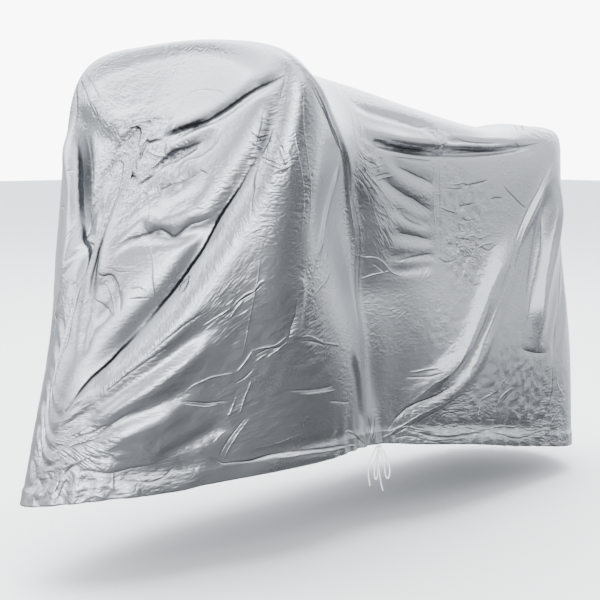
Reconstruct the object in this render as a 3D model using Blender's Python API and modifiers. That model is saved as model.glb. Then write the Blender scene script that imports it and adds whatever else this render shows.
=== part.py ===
"""Motorcycle cover: one hollow sheet of silver film, with a bow of white cord at its hem.

Metres, +Z up, front towards -X, the side with the bow towards -Y. The heights in the tables
are above the ground. The model is moved at the end, so that the origin lies just under the
top, where the cover rests on what it covers.

The sheet is worked out in chart units. "along" runs from 0 at the nose to 9 at the tail, one
unit for each row of the section tables. "round" runs from 0 at the near hem over 4, the
crown, to 8 at the far hem. A place just past the nose or the tail is the same place on the
other side, so a fold may run across either end.
"""

import math
from typing import NamedTuple

import bmesh
import bpy
import numpy as np
from mathutils import Vector
from mathutils.bvhtree import BVHTree

NAME = "motorcycle_cover"

# Driving sizes of the sheet
FILM = 0.0018  # thickness of the film
HEM_HEIGHT = 0.036  # casing that the cord runs in
HEM_THICK = 0.0060  # casing with the cord inside it
HEM_STEP = 0.0022  # how far the casing stands out of the side
GRID_ALONG = 120
GRID_ROUND = 150
HEM_ROWS = 4  # rows at each hem that are never thinned out
KEEP = 0.1440  # share of the fine grid's triangles that stay in the solid
ORIGIN_ALONG = 4.8  # the origin lies under the crown here
ORIGIN_DROP = 0.004

# Driving sizes of the bow
CORD = 0.0040  # diameter
KNOT = (0.0100, 0.0060, 0.0080)  # half sizes along X, Y, Z
GAP = 0.0003
KNOT_ALONG = 3.97


class Section(NamedTuple):
    """One side's places at one station, and how far the side bulges between them."""

    name: str
    hem: tuple
    shoulder: tuple
    low_out: float
    high_out: float


class Crown(NamedTuple):
    """The top line's place at one station."""

    name: str
    place: tuple


class Push(NamedTuple):
    """A soft local push, such as a corner that something inside holds out."""

    name: str
    along: float
    round: float
    reach: tuple
    move: tuple


class Fold(NamedTuple):
    """A fold along a path of chart places."""

    name: str
    shape: str
    width: float
    depth: float
    path: tuple


NEAR_SIDE = (
    #        station   hem x, y, z              shoulder x, y, z          low     high
    Section("nose", (-0.935, 0.030, 0.190), (-0.612, 0.030, 0.985), 0.040, 0.050),
    Section("cheek", (-0.815, -0.120, 0.214), (-0.545, -0.120, 1.045), 0.045, 0.050),
    Section("brow", (-0.605, -0.200, 0.224), (-0.492, -0.265, 1.125), 0.030, 0.045),
    Section("bar", (-0.366, -0.270, 0.239), (-0.430, -0.345, 1.152), 0.020, 0.012),
    Section("tie", (-0.100, -0.280, 0.242), (-0.155, -0.215, 1.040), 0.010, -0.025),
    Section("seat", (0.060, -0.300, 0.225), (0.120, -0.155, 1.010), 0.020, -0.005),
    Section("middle", (0.264, -0.290, 0.191), (0.366, -0.140, 0.997), 0.030, 0.005),
    Section("rear", (0.548, -0.270, 0.135), (0.623, -0.135, 0.990), 0.040, 0.020),
    Section("corner", (0.870, -0.215, 0.080), (0.872, -0.125, 0.985), 0.012, 0.004),
    Section("tail", (0.990, 0.020, 0.110), (1.010, 0.020, 0.965), 0.030, 0.015),
)
CROWN = (
    Crown("nose", (-0.580, 0.030, 1.030)),
    Crown("cheek", (-0.520, 0.030, 1.125)),
    Crown("brow", (-0.462, 0.030, 1.215)),
    Crown("bar", (-0.425, 0.045, 1.258)),
    Crown("tie", (-0.160, 0.010, 1.205)),
    Crown("seat", (0.100, 0.005, 1.158)),
    Crown("middle", (0.340, 0.005, 1.108)),
    Crown("rear", (0.620, 0.010, 1.058)),
    Crown("corner", (0.860, 0.020, 1.062)),
    Crown("tail", (0.990, 0.020, 1.035)),
)
FAR_SIDE = (
    Section("nose", (-0.935, 0.030, 0.190), (-0.612, 0.030, 0.985), 0.040, 0.050),
    Section("cheek", (-0.860, 0.130, 0.185), (-0.610, 0.170, 1.030), 0.020, 0.045),
    Section("brow", (-0.640, 0.220, 0.180), (-0.590, 0.295, 1.110), 0.020, 0.055),
    Section("bar", (-0.380, 0.280, 0.190), (-0.515, 0.335, 1.145), 0.020, 0.020),
    Section("tie", (-0.110, 0.290, 0.200), (-0.180, 0.220, 1.040), 0.010, -0.020),
    Section("seat", (0.060, 0.300, 0.190), (0.110, 0.165, 1.005), 0.020, -0.005),
    Section("middle", (0.270, 0.295, 0.160), (0.360, 0.150, 0.990), 0.030, 0.005),
    Section("rear", (0.550, 0.275, 0.120), (0.610, 0.150, 0.980), 0.040, 0.020),
    Section("corner", (0.830, 0.225, 0.100), (0.850, 0.150, 0.975), 0.025, 0.015),
    Section("tail", (0.990, 0.020, 0.110), (1.010, 0.020, 0.965), 0.030, 0.015),
)
PUSHES = (
    Push("near bar end", 3.00, 3.20, (0.50, 0.40), (0.005, -0.008, 0.020)),
    Push("far bar end", 2.90, 4.85, (0.60, 0.40), (0.000, 0.000, 0.032)),
    Push("near tail corner", 8.40, 3.40, (0.50, 0.45), (0.035, -0.012, 0.012)),
    Push("tail bump", 7.75, 4.50, (0.55, 0.45), (0.000, 0.000, 0.018)),
)
FOLDS = (
    #     name, shape, width, depth, path of (along, round)
    # Front, seen side
    Fold("hood lip", "step", 0.026, -0.020, ((2.75, 3.10), (1.6, 3.0), (0.5, 3.15), (-0.2, 4.75))),
    Fold("far lip", "step", 0.030, -0.012, ((0.2, 4.8), (1.2, 4.95), (2.2, 5.0))),
    Fold("left pleat", "trough", 0.024, 0.042, ((1.9, 5.06), (0.90, 5.43), (0.10, 5.89), (-0.35, 6.4))),
    Fold("pleat lip", "ridge", 0.030, 0.014, ((2.2, 5.35), (1.2, 5.75), (0.55, 6.1), (0.1, 6.5))),
    Fold("long diagonal", "trough", 0.024, 0.024, ((2.62, 2.95), (1.71, 2.12), (0.85, 1.28), (0.30, 0.75))),
    Fold("diagonal crest", "ridge", 0.030, 0.020, ((2.70, 2.75), (2.0, 2.02), (1.05, 1.22), (0.50, 0.76))),
    Fold("second diagonal", "trough", 0.032, 0.014, ((1.9, 1.48), (1.31, 1.18), (0.93, 0.98), (0.5, 0.7))),
    Fold("second crest", "ridge", 0.030, 0.010, ((1.9, 1.22), (1.35, 0.98), (0.8, 0.76))),
    Fold("third diagonal", "trough", 0.028, 0.009, ((1.85, 0.97), (1.21, 0.76), (0.65, 0.56))),
    Fold("brow sag", "trough", 0.040, 0.016, ((-0.1, 5.75), (0.73, 2.19), (1.5, 2.15))),
    Fold("brow crest", "ridge", 0.030, 0.012, ((1.5, 2.60), (0.9, 2.72), (0.3, 2.62))),
    Fold("chin hollow", "trough", 0.045, 0.012, ((0.2, 2.0), (0.35, 1.7), (0.6, 1.5))),
    Fold("nose crest", "ridge", 0.034, 0.012, ((-0.25, 7.4), (0.25, 0.9), (0.7, 1.6), (0.75, 2.0))),
    # Middle, seen side
    Fold("bar corner", "ridge", 0.022, 0.016, ((2.9, 3.05), (3.5, 2.78), (3.95, 2.5), (4.12, 1.5))),
    Fold("hollow by the tie", "trough", 0.040, 0.026, ((3.95, 2.75), (4.38, 2.1), (4.2, 1.0), (3.98, 0.1))),
    Fold("groove to the tie", "trough", 0.018, 0.012, ((3.55, 1.3), (3.75, 0.7), (3.93, 0.12))),
    Fold("side swell", "ridge", 0.110, 0.014, ((2.9, 1.9), (2.9, 1.2), (2.7, 0.6))),
    Fold("seat slit", "trough", 0.016, 0.026, ((4.3, 3.03), (5.2, 2.93), (6.3, 2.98), (7.7, 3.14))),
    Fold("seat roll", "ridge", 0.026, 0.012, ((4.2, 3.28), (5.2, 3.18), (6.3, 3.24), (7.4, 3.36))),
    Fold("upper sag", "trough", 0.030, 0.007, ((4.15, 3.55), (4.8, 3.44), (5.5, 3.42))),
    Fold("first side sag", "trough", 0.030, 0.010, ((4.45, 2.75), (5.05, 2.50), (5.6, 2.40))),
    Fold("second side sag", "trough", 0.030, 0.010, ((4.45, 2.42), (5.0, 2.20), (5.6, 2.14))),
    Fold("third side sag", "trough", 0.030, 0.008, ((4.5, 2.08), (5.03, 1.94), (5.6, 1.93))),
    # Tail, seen side
    Fold("tail crest", "ridge", 0.030, 0.020, ((7.95, 3.05), (7.0, 1.98), (6.3, 1.15), (4.4, 0.1))),
    Fold("tail groove", "trough", 0.026, 0.016, ((7.6, 2.95), (6.7, 1.98), (6.0, 1.15), (4.5, 0.28))),
    Fold("inner crest", "ridge", 0.026, 0.010, ((6.25, 1.75), (5.62, 0.94), (4.9, 0.45))),
    Fold("tail band", "ridge", 0.045, 0.014, ((7.75, 2.9), (7.50, 2.09), (7.25, 1.2))),
    Fold("band groove", "trough", 0.026, 0.012, ((7.4, 2.5), (7.15, 1.8), (6.95, 1.1))),
    Fold("corner groove", "trough", 0.030, 0.012, ((8.25, 2.4), (8.1, 1.5), (7.8, 0.7))),
    # Tail and far side
    Fold("tail drop", "ridge", 0.045, 0.016, ((8.9, 4.9), (8.9, 6.3), (8.7, 7.5))),
    Fold("tail hollow", "trough", 0.040, 0.016, ((8.6, 3.2), (8.75, 2.2), (8.6, 1.0))),
    Fold("far tail crest", "ridge", 0.034, 0.020, ((8.0, 4.95), (7.2, 5.9), (6.4, 6.9), (5.2, 7.7))),
    Fold("far tail groove", "trough", 0.028, 0.016, ((7.6, 5.1), (6.7, 6.1), (5.9, 7.0), (5.0, 7.6))),
    Fold("far slit", "trough", 0.018, 0.022, ((4.5, 4.98), (5.6, 5.05), (6.6, 5.0), (7.6, 4.9))),
    Fold("far hollow", "trough", 0.045, 0.026, ((3.9, 5.3), (4.3, 6.0), (4.1, 7.0), (3.7, 7.8))),
    Fold("far bar corner", "ridge", 0.026, 0.016, ((2.9, 5.0), (3.5, 5.3), (3.9, 5.7), (3.8, 6.5))),
    Fold("far diagonal", "trough", 0.030, 0.022, ((2.9, 5.2), (2.2, 6.0), (1.4, 6.9), (0.8, 7.5))),
    Fold("far crest", "ridge", 0.034, 0.018, ((3.1, 5.4), (2.5, 6.1), (1.7, 6.9), (1.1, 7.5))),
    Fold("far swell", "ridge", 0.100, 0.012, ((3.0, 6.2), (3.1, 6.8), (3.0, 7.4))),
    Fold("far sag", "trough", 0.035, 0.010, ((4.6, 5.6), (5.3, 5.75), (6.0, 5.8))),
    Fold("second far sag", "trough", 0.035, 0.010, ((4.7, 6.1), (5.4, 6.2), (6.2, 6.15))),
)


class Gather(NamedTuple):
    """A run of small upright gathers along the hem."""

    name: str
    along: float
    reach: float
    wave: float
    depth: float


NEAR_GATHERS = (
    Gather("nose", 0.4, 1.1, 0.060, 0.0025),
    Gather("tie", 4.0, 0.9, 0.052, 0.0040),
    Gather("rear", 6.6, 1.6, 0.070, 0.0045),
)
FAR_GATHERS = (
    Gather("front", 1.6, 1.4, 0.064, 0.0035),
    Gather("middle", 4.4, 1.2, 0.075, 0.0040),
    Gather("rear", 7.4, 1.5, 0.066, 0.0045),
)
GATHER_UP = 0.28  # how far the gathers reach up, in chart units


# --------------------------------------------------------------------------- the base form


def outward(middles, others, side):
    """The level direction out of one side at each station."""
    count = len(middles)
    out = np.zeros((count, 3))
    for i in range(count):
        before = middles[i - 1] if i > 0 else others[1]
        after = middles[i + 1] if i < count - 1 else others[count - 2]
        run = after - before
        run /= math.hypot(run[0], run[1])
        out[i] = (side * run[1], -side * run[0], 0.0)
    return out


def control_net():
    """The places that the sheet passes through: stations by rings, near hem to far hem."""
    count = len(CROWN)
    net = np.zeros((count, 9, 3))
    tables = (NEAR_SIDE, FAR_SIDE)
    hems = [np.array([row.hem for row in table]) for table in tables]
    shoulders = [np.array([row.shoulder for row in table]) for table in tables]
    middles = [(hem + shoulder) / 2 for hem, shoulder in zip(hems, shoulders)]
    for index, table in enumerate(tables):
        side = 1.0 if index == 0 else -1.0
        out = outward(middles[index], middles[1 - index], side)
        rise = shoulders[index] - hems[index]
        low = hems[index] + rise / 3 + out * np.array([[row.low_out] for row in table])
        high = hems[index] + rise * 2 / 3 + out * np.array([[row.high_out] for row in table])
        for ring, places in enumerate((hems[index], low, high, shoulders[index])):
            net[:, ring if index == 0 else 8 - ring] = places
    net[:, 4] = [row.place for row in CROWN]
    return net


NET = control_net()
LAST = len(CROWN) - 1


def spline_weights(f):
    """Weights of four neighbouring places for a smooth curve through them."""
    return (
        -0.5 * f + f**2 - 0.5 * f**3,
        1 - 2.5 * f**2 + 1.5 * f**3,
        0.5 * f + 2 * f**2 - 1.5 * f**3,
        -0.5 * f**2 + 0.5 * f**3,
    )


def net_place(station, ring):
    """A place of the net. Past the nose or the tail it is the other side's."""
    over = (station < 0) | (station > LAST)
    station = np.where(station < 0, -station, station)
    station = np.where(station > LAST, 2 * LAST - station, station)
    ring = np.where(over, 8 - ring, ring)
    inside = np.clip(ring, 0, 8)
    place = NET[station, inside]
    beside = NET[station, np.where(ring < 0, 1, np.where(ring > 8, 7, inside))]
    return np.where((ring != inside)[..., None], 2 * place - beside, place)


def smooth_sheet(along, round_):
    """The sheet without its folds, at chart places."""
    over = (along < 0) | (along > LAST)
    along = np.abs(along)
    along = np.where(along > LAST, 2 * LAST - along, along)
    round_ = np.where(over, 8 - round_, round_)
    station = np.clip(np.floor(along).astype(int), 0, LAST - 1)
    ring = np.clip(np.floor(round_).astype(int), 0, 7)
    across = spline_weights(along - station)
    up = spline_weights(round_ - ring)
    place = np.zeros(along.shape + (3,))
    for a in range(4):
        for b in range(4):
            weight = (across[a] * up[b])[..., None]
            place += weight * net_place(station + a - 1, ring + b - 1)
    for push in PUSHES:
        far = ((along - push.along) / push.reach[0]) ** 2
        far = far + ((round_ - push.round) / push.reach[1]) ** 2
        place += np.exp(-far)[..., None] * np.array(push.move)
    return place


# --------------------------------------------------------------------------- the folds


def fold_line(path, count=40):
    """Places of the smooth sheet along a curve through the path's chart places."""
    knots = np.array(path, float)
    first = 2 * knots[0] - knots[1]
    last = 2 * knots[-1] - knots[-2]
    knots = np.vstack([first, knots, last])
    at = np.linspace(0, len(path) - 1, count)
    piece = np.clip(np.floor(at).astype(int), 0, len(path) - 2)
    weights = spline_weights(at - piece)
    chart = sum(w[:, None] * knots[piece + k] for k, w in enumerate(weights))
    return smooth_sheet(chart[:, 0], chart[:, 1])


def distance_to_line(places, normals, line):
    """Signed distance of each place to a line, and the nearest share of its length."""
    best = np.full(len(places), np.inf)
    share = np.zeros(len(places))
    sign = np.ones(len(places))
    runs = line[1:] - line[:-1]
    lengths = np.linalg.norm(runs, axis=1)
    starts = np.concatenate([[0.0], np.cumsum(lengths)])
    for i, run in enumerate(runs):
        offset = places - line[i]
        f = np.clip(offset @ run / lengths[i] ** 2, 0, 1)
        gap = offset - f[:, None] * run
        far = np.einsum("ij,ij->i", gap, gap)
        closer = far < best
        side = np.einsum("ij,ij->i", np.cross(run, gap), normals)
        best = np.where(closer, far, best)
        share = np.where(closer, (starts[i] + f * lengths[i]) / starts[-1], share)
        sign = np.where(closer, np.where(side < 0, -1.0, 1.0), sign)
    return np.sqrt(best) * sign, share


def fold_height(fold, places, normals):
    """How far the fold moves each place out of the smooth sheet."""
    far, share = distance_to_line(places, normals, fold_line(fold.path))
    x = far / fold.width
    fade = np.clip(np.sin(np.pi * share), 0, 1) ** 0.7
    if fold.shape == "step":
        profile = x * np.exp(0.5 - x**2 / 2)
    else:
        profile = np.exp(-(x**2)) * (1.0 if fold.shape == "ridge" else -1.0)
    return fold.depth * fade * profile


def gather_height(along, round_, hem_run):
    """The small upright gathers at the hem: worked out from the run along it."""
    height = np.zeros(along.shape)
    near = round_ <= 4
    up = np.where(near, round_, 8 - round_)
    for gathers, side in ((NEAR_GATHERS, near), (FAR_GATHERS, ~near)):
        for gather in gathers:
            x = np.clip(np.abs(along - gather.along) / gather.reach, 0, 1)
            fade = 0.5 + 0.5 * np.cos(np.pi * x)
            wave = np.sin(2 * np.pi * hem_run / gather.wave + 1.7 * np.sin(hem_run * 9))
            height += side * gather.depth * fade * wave * np.exp(-((up / GATHER_UP) ** 2))
    return height


# --------------------------------------------------------------------------- the sheet


def even_steps(values, count):
    """count + 1 chart values with even steps of a growing length."""
    chart, length = values
    return np.interp(np.linspace(0, length[-1], count + 1), length, chart)


def chart_lines():
    """Chart lines along and round that lie evenly on the sheet, and one at the casing's edge."""
    fine_along = np.linspace(0, LAST, 361)
    rings = np.array([0.0, 1.0, 2.0, 3.0, 5.0, 6.0, 7.0, 8.0])
    a, r = np.meshgrid(fine_along, rings, indexing="ij")
    steps = np.linalg.norm(np.diff(smooth_sheet(a, r), axis=0), axis=2).mean(axis=1)
    along = even_steps((fine_along, np.concatenate([[0], np.cumsum(steps)])), GRID_ALONG)
    fine_round = np.linspace(0, 8, 321)
    a, r = np.meshgrid(np.linspace(0.5, LAST - 0.5, 9), fine_round, indexing="ij")
    steps = np.linalg.norm(np.diff(smooth_sheet(a, r), axis=1), axis=2).mean(axis=0)
    length = np.concatenate([[0], np.cumsum(steps)])
    round_ = even_steps((fine_round, length), GRID_ROUND)
    side_length = np.interp(3.0, fine_round, length)
    casing = 3.0 * HEM_HEIGHT / side_length
    step = 1.2 * casing
    inner = round_[(round_ > 1.8 * step) & (round_ < 8 - 1.8 * step)]
    edge = np.array([0.0, 0.5 * casing, casing, step])  # the HEM_ROWS rows
    return along, np.concatenate([edge, inner, 8 - edge[::-1]]), casing


def sheet_points():
    """The folded sheet's points on the chart grid, and which of them are in the casing."""
    along, round_, casing = chart_lines()
    a, r = np.meshgrid(along, round_, indexing="ij")
    base = smooth_sheet(a, r)
    across = np.gradient(base, axis=0)
    up = np.gradient(base, axis=1)
    across[0] = base[1] - base[1][::-1]
    across[-1] = base[-2][::-1] - base[-2]
    normals = np.cross(across, up)
    normals[:, 0] = np.cross(across[:, 0], base[:, 2] - base[:, 0])
    normals /= np.linalg.norm(normals, axis=2, keepdims=True) + 1e-12
    flat = base.reshape(-1, 3)
    flat_normals = normals.reshape(-1, 3)
    height = np.zeros(len(flat))
    for fold in FOLDS:
        height += fold_height(fold, flat, flat_normals)
    height = height.reshape(a.shape)
    middle = base[:, len(round_) // 8]
    steps = np.linalg.norm(np.diff(middle, axis=0), axis=1)
    run = np.concatenate([[0], np.cumsum(steps)])[:, None] + np.zeros_like(a)
    height += gather_height(a, r, run)
    up_from_hem = np.minimum(r, 8 - r)
    in_casing = up_from_hem <= casing * 1.01
    height += HEM_STEP * in_casing
    # The two ends are closed, so both sides' points there are one.
    height[0] = (height[0] + height[0][::-1]) / 2
    height[-1] = (height[-1] + height[-1][::-1]) / 2
    ends = (normals[[0, -1]] + normals[[0, -1], ::-1]) / 2
    ends /= np.linalg.norm(ends, axis=2, keepdims=True) + 1e-12
    normals[[0, -1]] = ends
    return base + height[..., None] * normals, in_casing


def move_to_frame(places):
    """From heights above the ground to the part's own frame."""
    return places - ORIGIN


def origin_place():
    """The place under the crown that the cover hangs from."""
    top = smooth_sheet(np.array([ORIGIN_ALONG]), np.array([4.0]))[0]
    return top - np.array([0.0, 0.0, ORIGIN_DROP + FILM])


ORIGIN = origin_place()


def link_object(name, data, collection, colour, roughness, metallic):
    """One named object with a material of its own."""
    obj = bpy.data.objects.new(name, data)
    collection.objects.link(obj)
    material = bpy.data.materials.new(name)
    material.use_nodes = True
    shader = material.node_tree.nodes["Principled BSDF"]
    shader.inputs["Base Color"].default_value = (*colour, 1.0)
    shader.inputs["Roughness"].default_value = roughness
    shader.inputs["Metallic"].default_value = metallic
    data.materials.append(material)
    return obj


def build_shell(collection):
    """The film: a fine folded sheet, thinned out and then given its thickness."""
    points, in_casing = sheet_points()
    points = move_to_frame(points)
    columns, rows = points.shape[:2]
    mesh = bmesh.new()
    grid = []
    for i in range(columns):
        at_end = i in (0, columns - 1)
        half = (rows + 1) // 2
        line = [mesh.verts.new(place) for place in points[i, : half if at_end else rows]]
        if at_end:
            line += line[: rows // 2][::-1]
        grid.append(line)
    for i in range(columns - 1):
        for j in range(rows - 1):
            corners = (grid[i][j], grid[i + 1][j], grid[i + 1][j + 1], grid[i][j + 1])
            mesh.faces.new(dict.fromkeys(corners))
    mesh.verts.index_update()
    casing = {line[j].index for i, line in enumerate(grid) for j in range(rows) if in_casing[i, j]}
    above = {line[j].index for line in grid for j in range(HEM_ROWS, rows - HEM_ROWS)}
    bmesh.ops.recalc_face_normals(mesh, faces=mesh.faces)
    data = bpy.data.meshes.new("cover_shell")
    mesh.to_mesh(data)
    mesh.free()
    shell = link_object("cover_shell", data, collection, (0.62, 0.64, 0.67), 0.35, 0.80)
    hem = shell.vertex_groups.new(name="hem")
    hem.add(sorted(casing), 1.0, "REPLACE")
    free = shell.vertex_groups.new(name="free")
    free.add(sorted(above), 1.0, "REPLACE")
    thinned = shell.modifiers.new("thin out", "DECIMATE")
    thinned.ratio = KEEP
    thinned.vertex_group = "free"
    thickness = shell.modifiers.new("film", "SOLIDIFY")
    thickness.thickness = HEM_THICK
    thickness.offset = -1.0
    thickness.vertex_group = "hem"
    thickness.thickness_vertex_group = FILM / HEM_THICK
    return shell


# --------------------------------------------------------------------------- the bow

# Places are millimetres from the knot's middle: along +X, out of the side, and up. The first
# one, and a loop's last one, only give the direction in which the cord leaves the knot.
BOW = {
    "cord_end_left": (
        (-10, 0, -2), (-20, 3, -8), (-36, 6, -22), (-45, 6, -42), (-43, 4, -66), (-36, 3, -94),
    ),
    "cord_end_right": (
        (2, -3, -8), (2, -4, -24), (3, -3, -50), (6, -2, -76), (11, -1, -100), (17, -1, -118),
    ),
    "cord_loop_left": (
        (-8, 3, -5), (-17, 8, -20), (-27, 11, -42), (-30, 12, -62), (-25, 12, -77),
        (-17, 11, -72), (-14, 9, -50), (-9, 6, -26), (-3.5, 3, -7.5),
    ),
    "cord_loop_right": (
        (7.5, 3, -5), (15, 8, -20), (24, 12, -48), (27, 13, -68), (21, 13, -83),
        (13, 12, -75), (10, 10, -50), (6, 7, -27), (2.5, 3, -8),
    ),
}
KNOT_UP = 0.004  # the knot's middle is this far above the hem's lower edge
CORD_START = 0.0007  # from the knot's surface to the middle of a cord's end


def hem_place(along):
    """The hem's lower edge on the near side, and the level direction out of the side there."""
    here = smooth_sheet(np.array([along - 0.1, along, along + 0.1]), np.zeros(3))
    run = here[2] - here[0]
    run /= math.hypot(run[0], run[1])
    return here[1], np.array([run[1], -run[0], 0.0])


def smooth_route(places, spacing):
    """Evenly spaced places on a smooth curve through the route's own places."""
    knots = np.array(places, float)
    knots = np.vstack([2 * knots[0] - knots[1], knots, 2 * knots[-1] - knots[-2]])
    at = np.linspace(0, len(places) - 1, 400)
    piece = np.clip(np.floor(at).astype(int), 0, len(places) - 2)
    curve = sum(w[:, None] * knots[piece + k] for k, w in enumerate(spline_weights(at - piece)))
    length = np.concatenate([[0], np.cumsum(np.linalg.norm(np.diff(curve, axis=0), axis=1))])
    count = max(2, round(length[-1] / spacing))
    even = np.linspace(0, length[-1], count + 1)
    return np.column_stack([np.interp(even, length, curve[:, k]) for k in range(3)])


def build_cord(name, places, collection):
    """One free stretch of the cord."""
    curve = bpy.data.curves.new(name, "CURVE")
    curve.dimensions = "3D"
    curve.bevel_depth = CORD / 2
    curve.bevel_resolution = 2
    curve.use_fill_caps = True
    spline = curve.splines.new("POLY")
    spline.points.add(len(places) - 1)
    for point, place in zip(spline.points, places):
        point.co = (*place, 1.0)
    return link_object(name, curve, collection, (0.90, 0.90, 0.88), 0.7, 0.0)


def off_knot(toward):
    """The place just off the knot's surface where a cord that goes this way begins."""
    size = np.array(KNOT)
    toward = np.array(toward, float)
    place = toward / np.linalg.norm(toward / size)
    normal = place / size**2
    return place + CORD_START * normal / np.linalg.norm(normal)


def seat_distance(knot, shell, direction):
    """How far the knot can move this way before it meets the shell."""
    graph = bpy.context.evaluated_depsgraph_get()
    tree = BVHTree.FromObject(shell, graph)
    reach = []
    for vert in knot.data.vertices:
        hit = tree.ray_cast(knot.location + vert.co, direction)
        if hit[0] is not None:
            reach.append(hit[3])
    return min(reach)


def build_bow(shell, collection):
    """The knot on the hem's face, with two loops and two free ends."""
    edge, out = hem_place(KNOT_ALONG)
    mesh = bmesh.new()
    bmesh.ops.create_uvsphere(mesh, u_segments=16, v_segments=10, radius=1.0)
    bmesh.ops.scale(mesh, vec=KNOT, verts=mesh.verts)
    data = bpy.data.meshes.new("knot")
    mesh.to_mesh(data)
    mesh.free()
    knot = link_object("knot", data, collection, (0.90, 0.90, 0.88), 0.7, 0.0)
    knot.location = move_to_frame(edge + out * 0.05 + np.array([0, 0, KNOT_UP]))
    inward = Vector(-out)
    knot.location += inward * (seat_distance(knot, shell, inward) - GAP)
    for name, route in BOW.items():
        places = np.array(route, float) / 1000
        places[:, 1] *= -1
        places[0] = off_knot(places[0])
        if "loop" in name:
            places[-1] = off_knot(places[-1])
        places += np.array(knot.location)
        build_cord(name, smooth_route(places, 2.2 * CORD), collection)


def main():
    for obj in list(bpy.data.objects):
        bpy.data.objects.remove(obj)
    collection = bpy.data.collections.new(NAME)
    bpy.context.scene.collection.children.link(collection)
    shell = build_shell(collection)
    build_bow(shell, collection)


main()
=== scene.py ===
"""The looks of the motorcycle cover: the folded silver film and the white bow at its hem.

Everything is in metres, in the part's own frame: +Z up, the front towards -X and the side
with the bow towards -Y. The tables give heights above the ground, and the origin, just under
the top, is worked out from them as the part's source does it.

The film is laid out on a chart. "along" runs from 0 at the nose to 9 at the tail, "round"
from 0 at the near hem over 4, the crown, to 8 at the far hem. A place just past the nose or
the tail is the same place on the other side.
"""

from __future__ import annotations

import logging
import math
from dataclasses import dataclass, field
from enum import Enum

import bpy
import numpy as np
from mathutils import Matrix, Vector

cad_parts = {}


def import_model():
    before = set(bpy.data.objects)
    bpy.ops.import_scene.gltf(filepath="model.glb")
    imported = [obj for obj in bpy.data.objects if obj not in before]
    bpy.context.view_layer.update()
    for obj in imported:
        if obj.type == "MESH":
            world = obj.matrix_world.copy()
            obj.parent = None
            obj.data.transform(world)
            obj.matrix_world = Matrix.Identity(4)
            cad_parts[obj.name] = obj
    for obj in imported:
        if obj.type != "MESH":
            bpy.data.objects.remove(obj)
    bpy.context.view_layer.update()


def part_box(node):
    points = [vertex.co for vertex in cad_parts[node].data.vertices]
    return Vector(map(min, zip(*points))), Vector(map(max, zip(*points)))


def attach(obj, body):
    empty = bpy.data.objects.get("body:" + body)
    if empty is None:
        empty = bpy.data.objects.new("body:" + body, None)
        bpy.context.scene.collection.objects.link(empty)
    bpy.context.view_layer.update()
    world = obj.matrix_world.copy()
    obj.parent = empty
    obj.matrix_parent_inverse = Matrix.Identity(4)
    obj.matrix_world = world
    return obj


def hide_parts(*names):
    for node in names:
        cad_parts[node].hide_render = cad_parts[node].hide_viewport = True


LOG = logging.getLogger("motorcycle_cover")
Array = np.ndarray
ChartPath = tuple[tuple[float, float], ...]
Triple = tuple[float, float, float]

CROWN_LINE = 4  # "round" at the crown
FAR_HEM = 8  # "round" at the far hem


# --------------------------------------------------------------------------- shader maths


class Socket:
    """One output socket, on which Python expressions build shader nodes."""

    def __init__(self, shop: "NodeShop", link: bpy.types.NodeSocket) -> None:
        """Keeps the socket and the shop that its node came from."""
        self.shop = shop
        self.link = link

    def _math(self, operation: str, *values: "Socket | float") -> "Socket":
        """Adds one Math node."""
        return self.shop.node("ShaderNodeMath", {"operation": operation}, *values)

    def __add__(self, other: "Socket | float") -> "Socket":
        """Sum."""
        return self._math("ADD", self, other)

    __radd__ = __add__

    def __mul__(self, other: "Socket | float") -> "Socket":
        """Product."""
        return self._math("MULTIPLY", self, other)

    __rmul__ = __mul__

    def __sub__(self, other: "Socket | float") -> "Socket":
        """Difference."""
        return self._math("SUBTRACT", self, other)

    def __rsub__(self, other: float) -> "Socket":
        """Difference from a number."""
        return self._math("SUBTRACT", other, self)

    def __truediv__(self, other: "Socket | float") -> "Socket":
        """Quotient."""
        return self._math("DIVIDE", self, other)

    def absolute(self) -> "Socket":
        """Size without sign."""
        return self._math("ABSOLUTE", self)

    def exponent(self) -> "Socket":
        """The natural exponential."""
        return self._math("EXPONENT", self)

    def most(self, other: "Socket | float") -> "Socket":
        """The larger of two."""
        return self._math("MAXIMUM", self, other)

    def least(self, other: "Socket | float") -> "Socket":
        """The smaller of two."""
        return self._math("MINIMUM", self, other)

    def ramp(self, low: float, high: float) -> "Socket":
        """A smooth step from 0 at low to 1 at high."""
        settings = {"interpolation_type": "SMOOTHSTEP"}
        return self.shop.node("ShaderNodeMapRange", settings, self, low, high, 0.0, 1.0)


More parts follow.
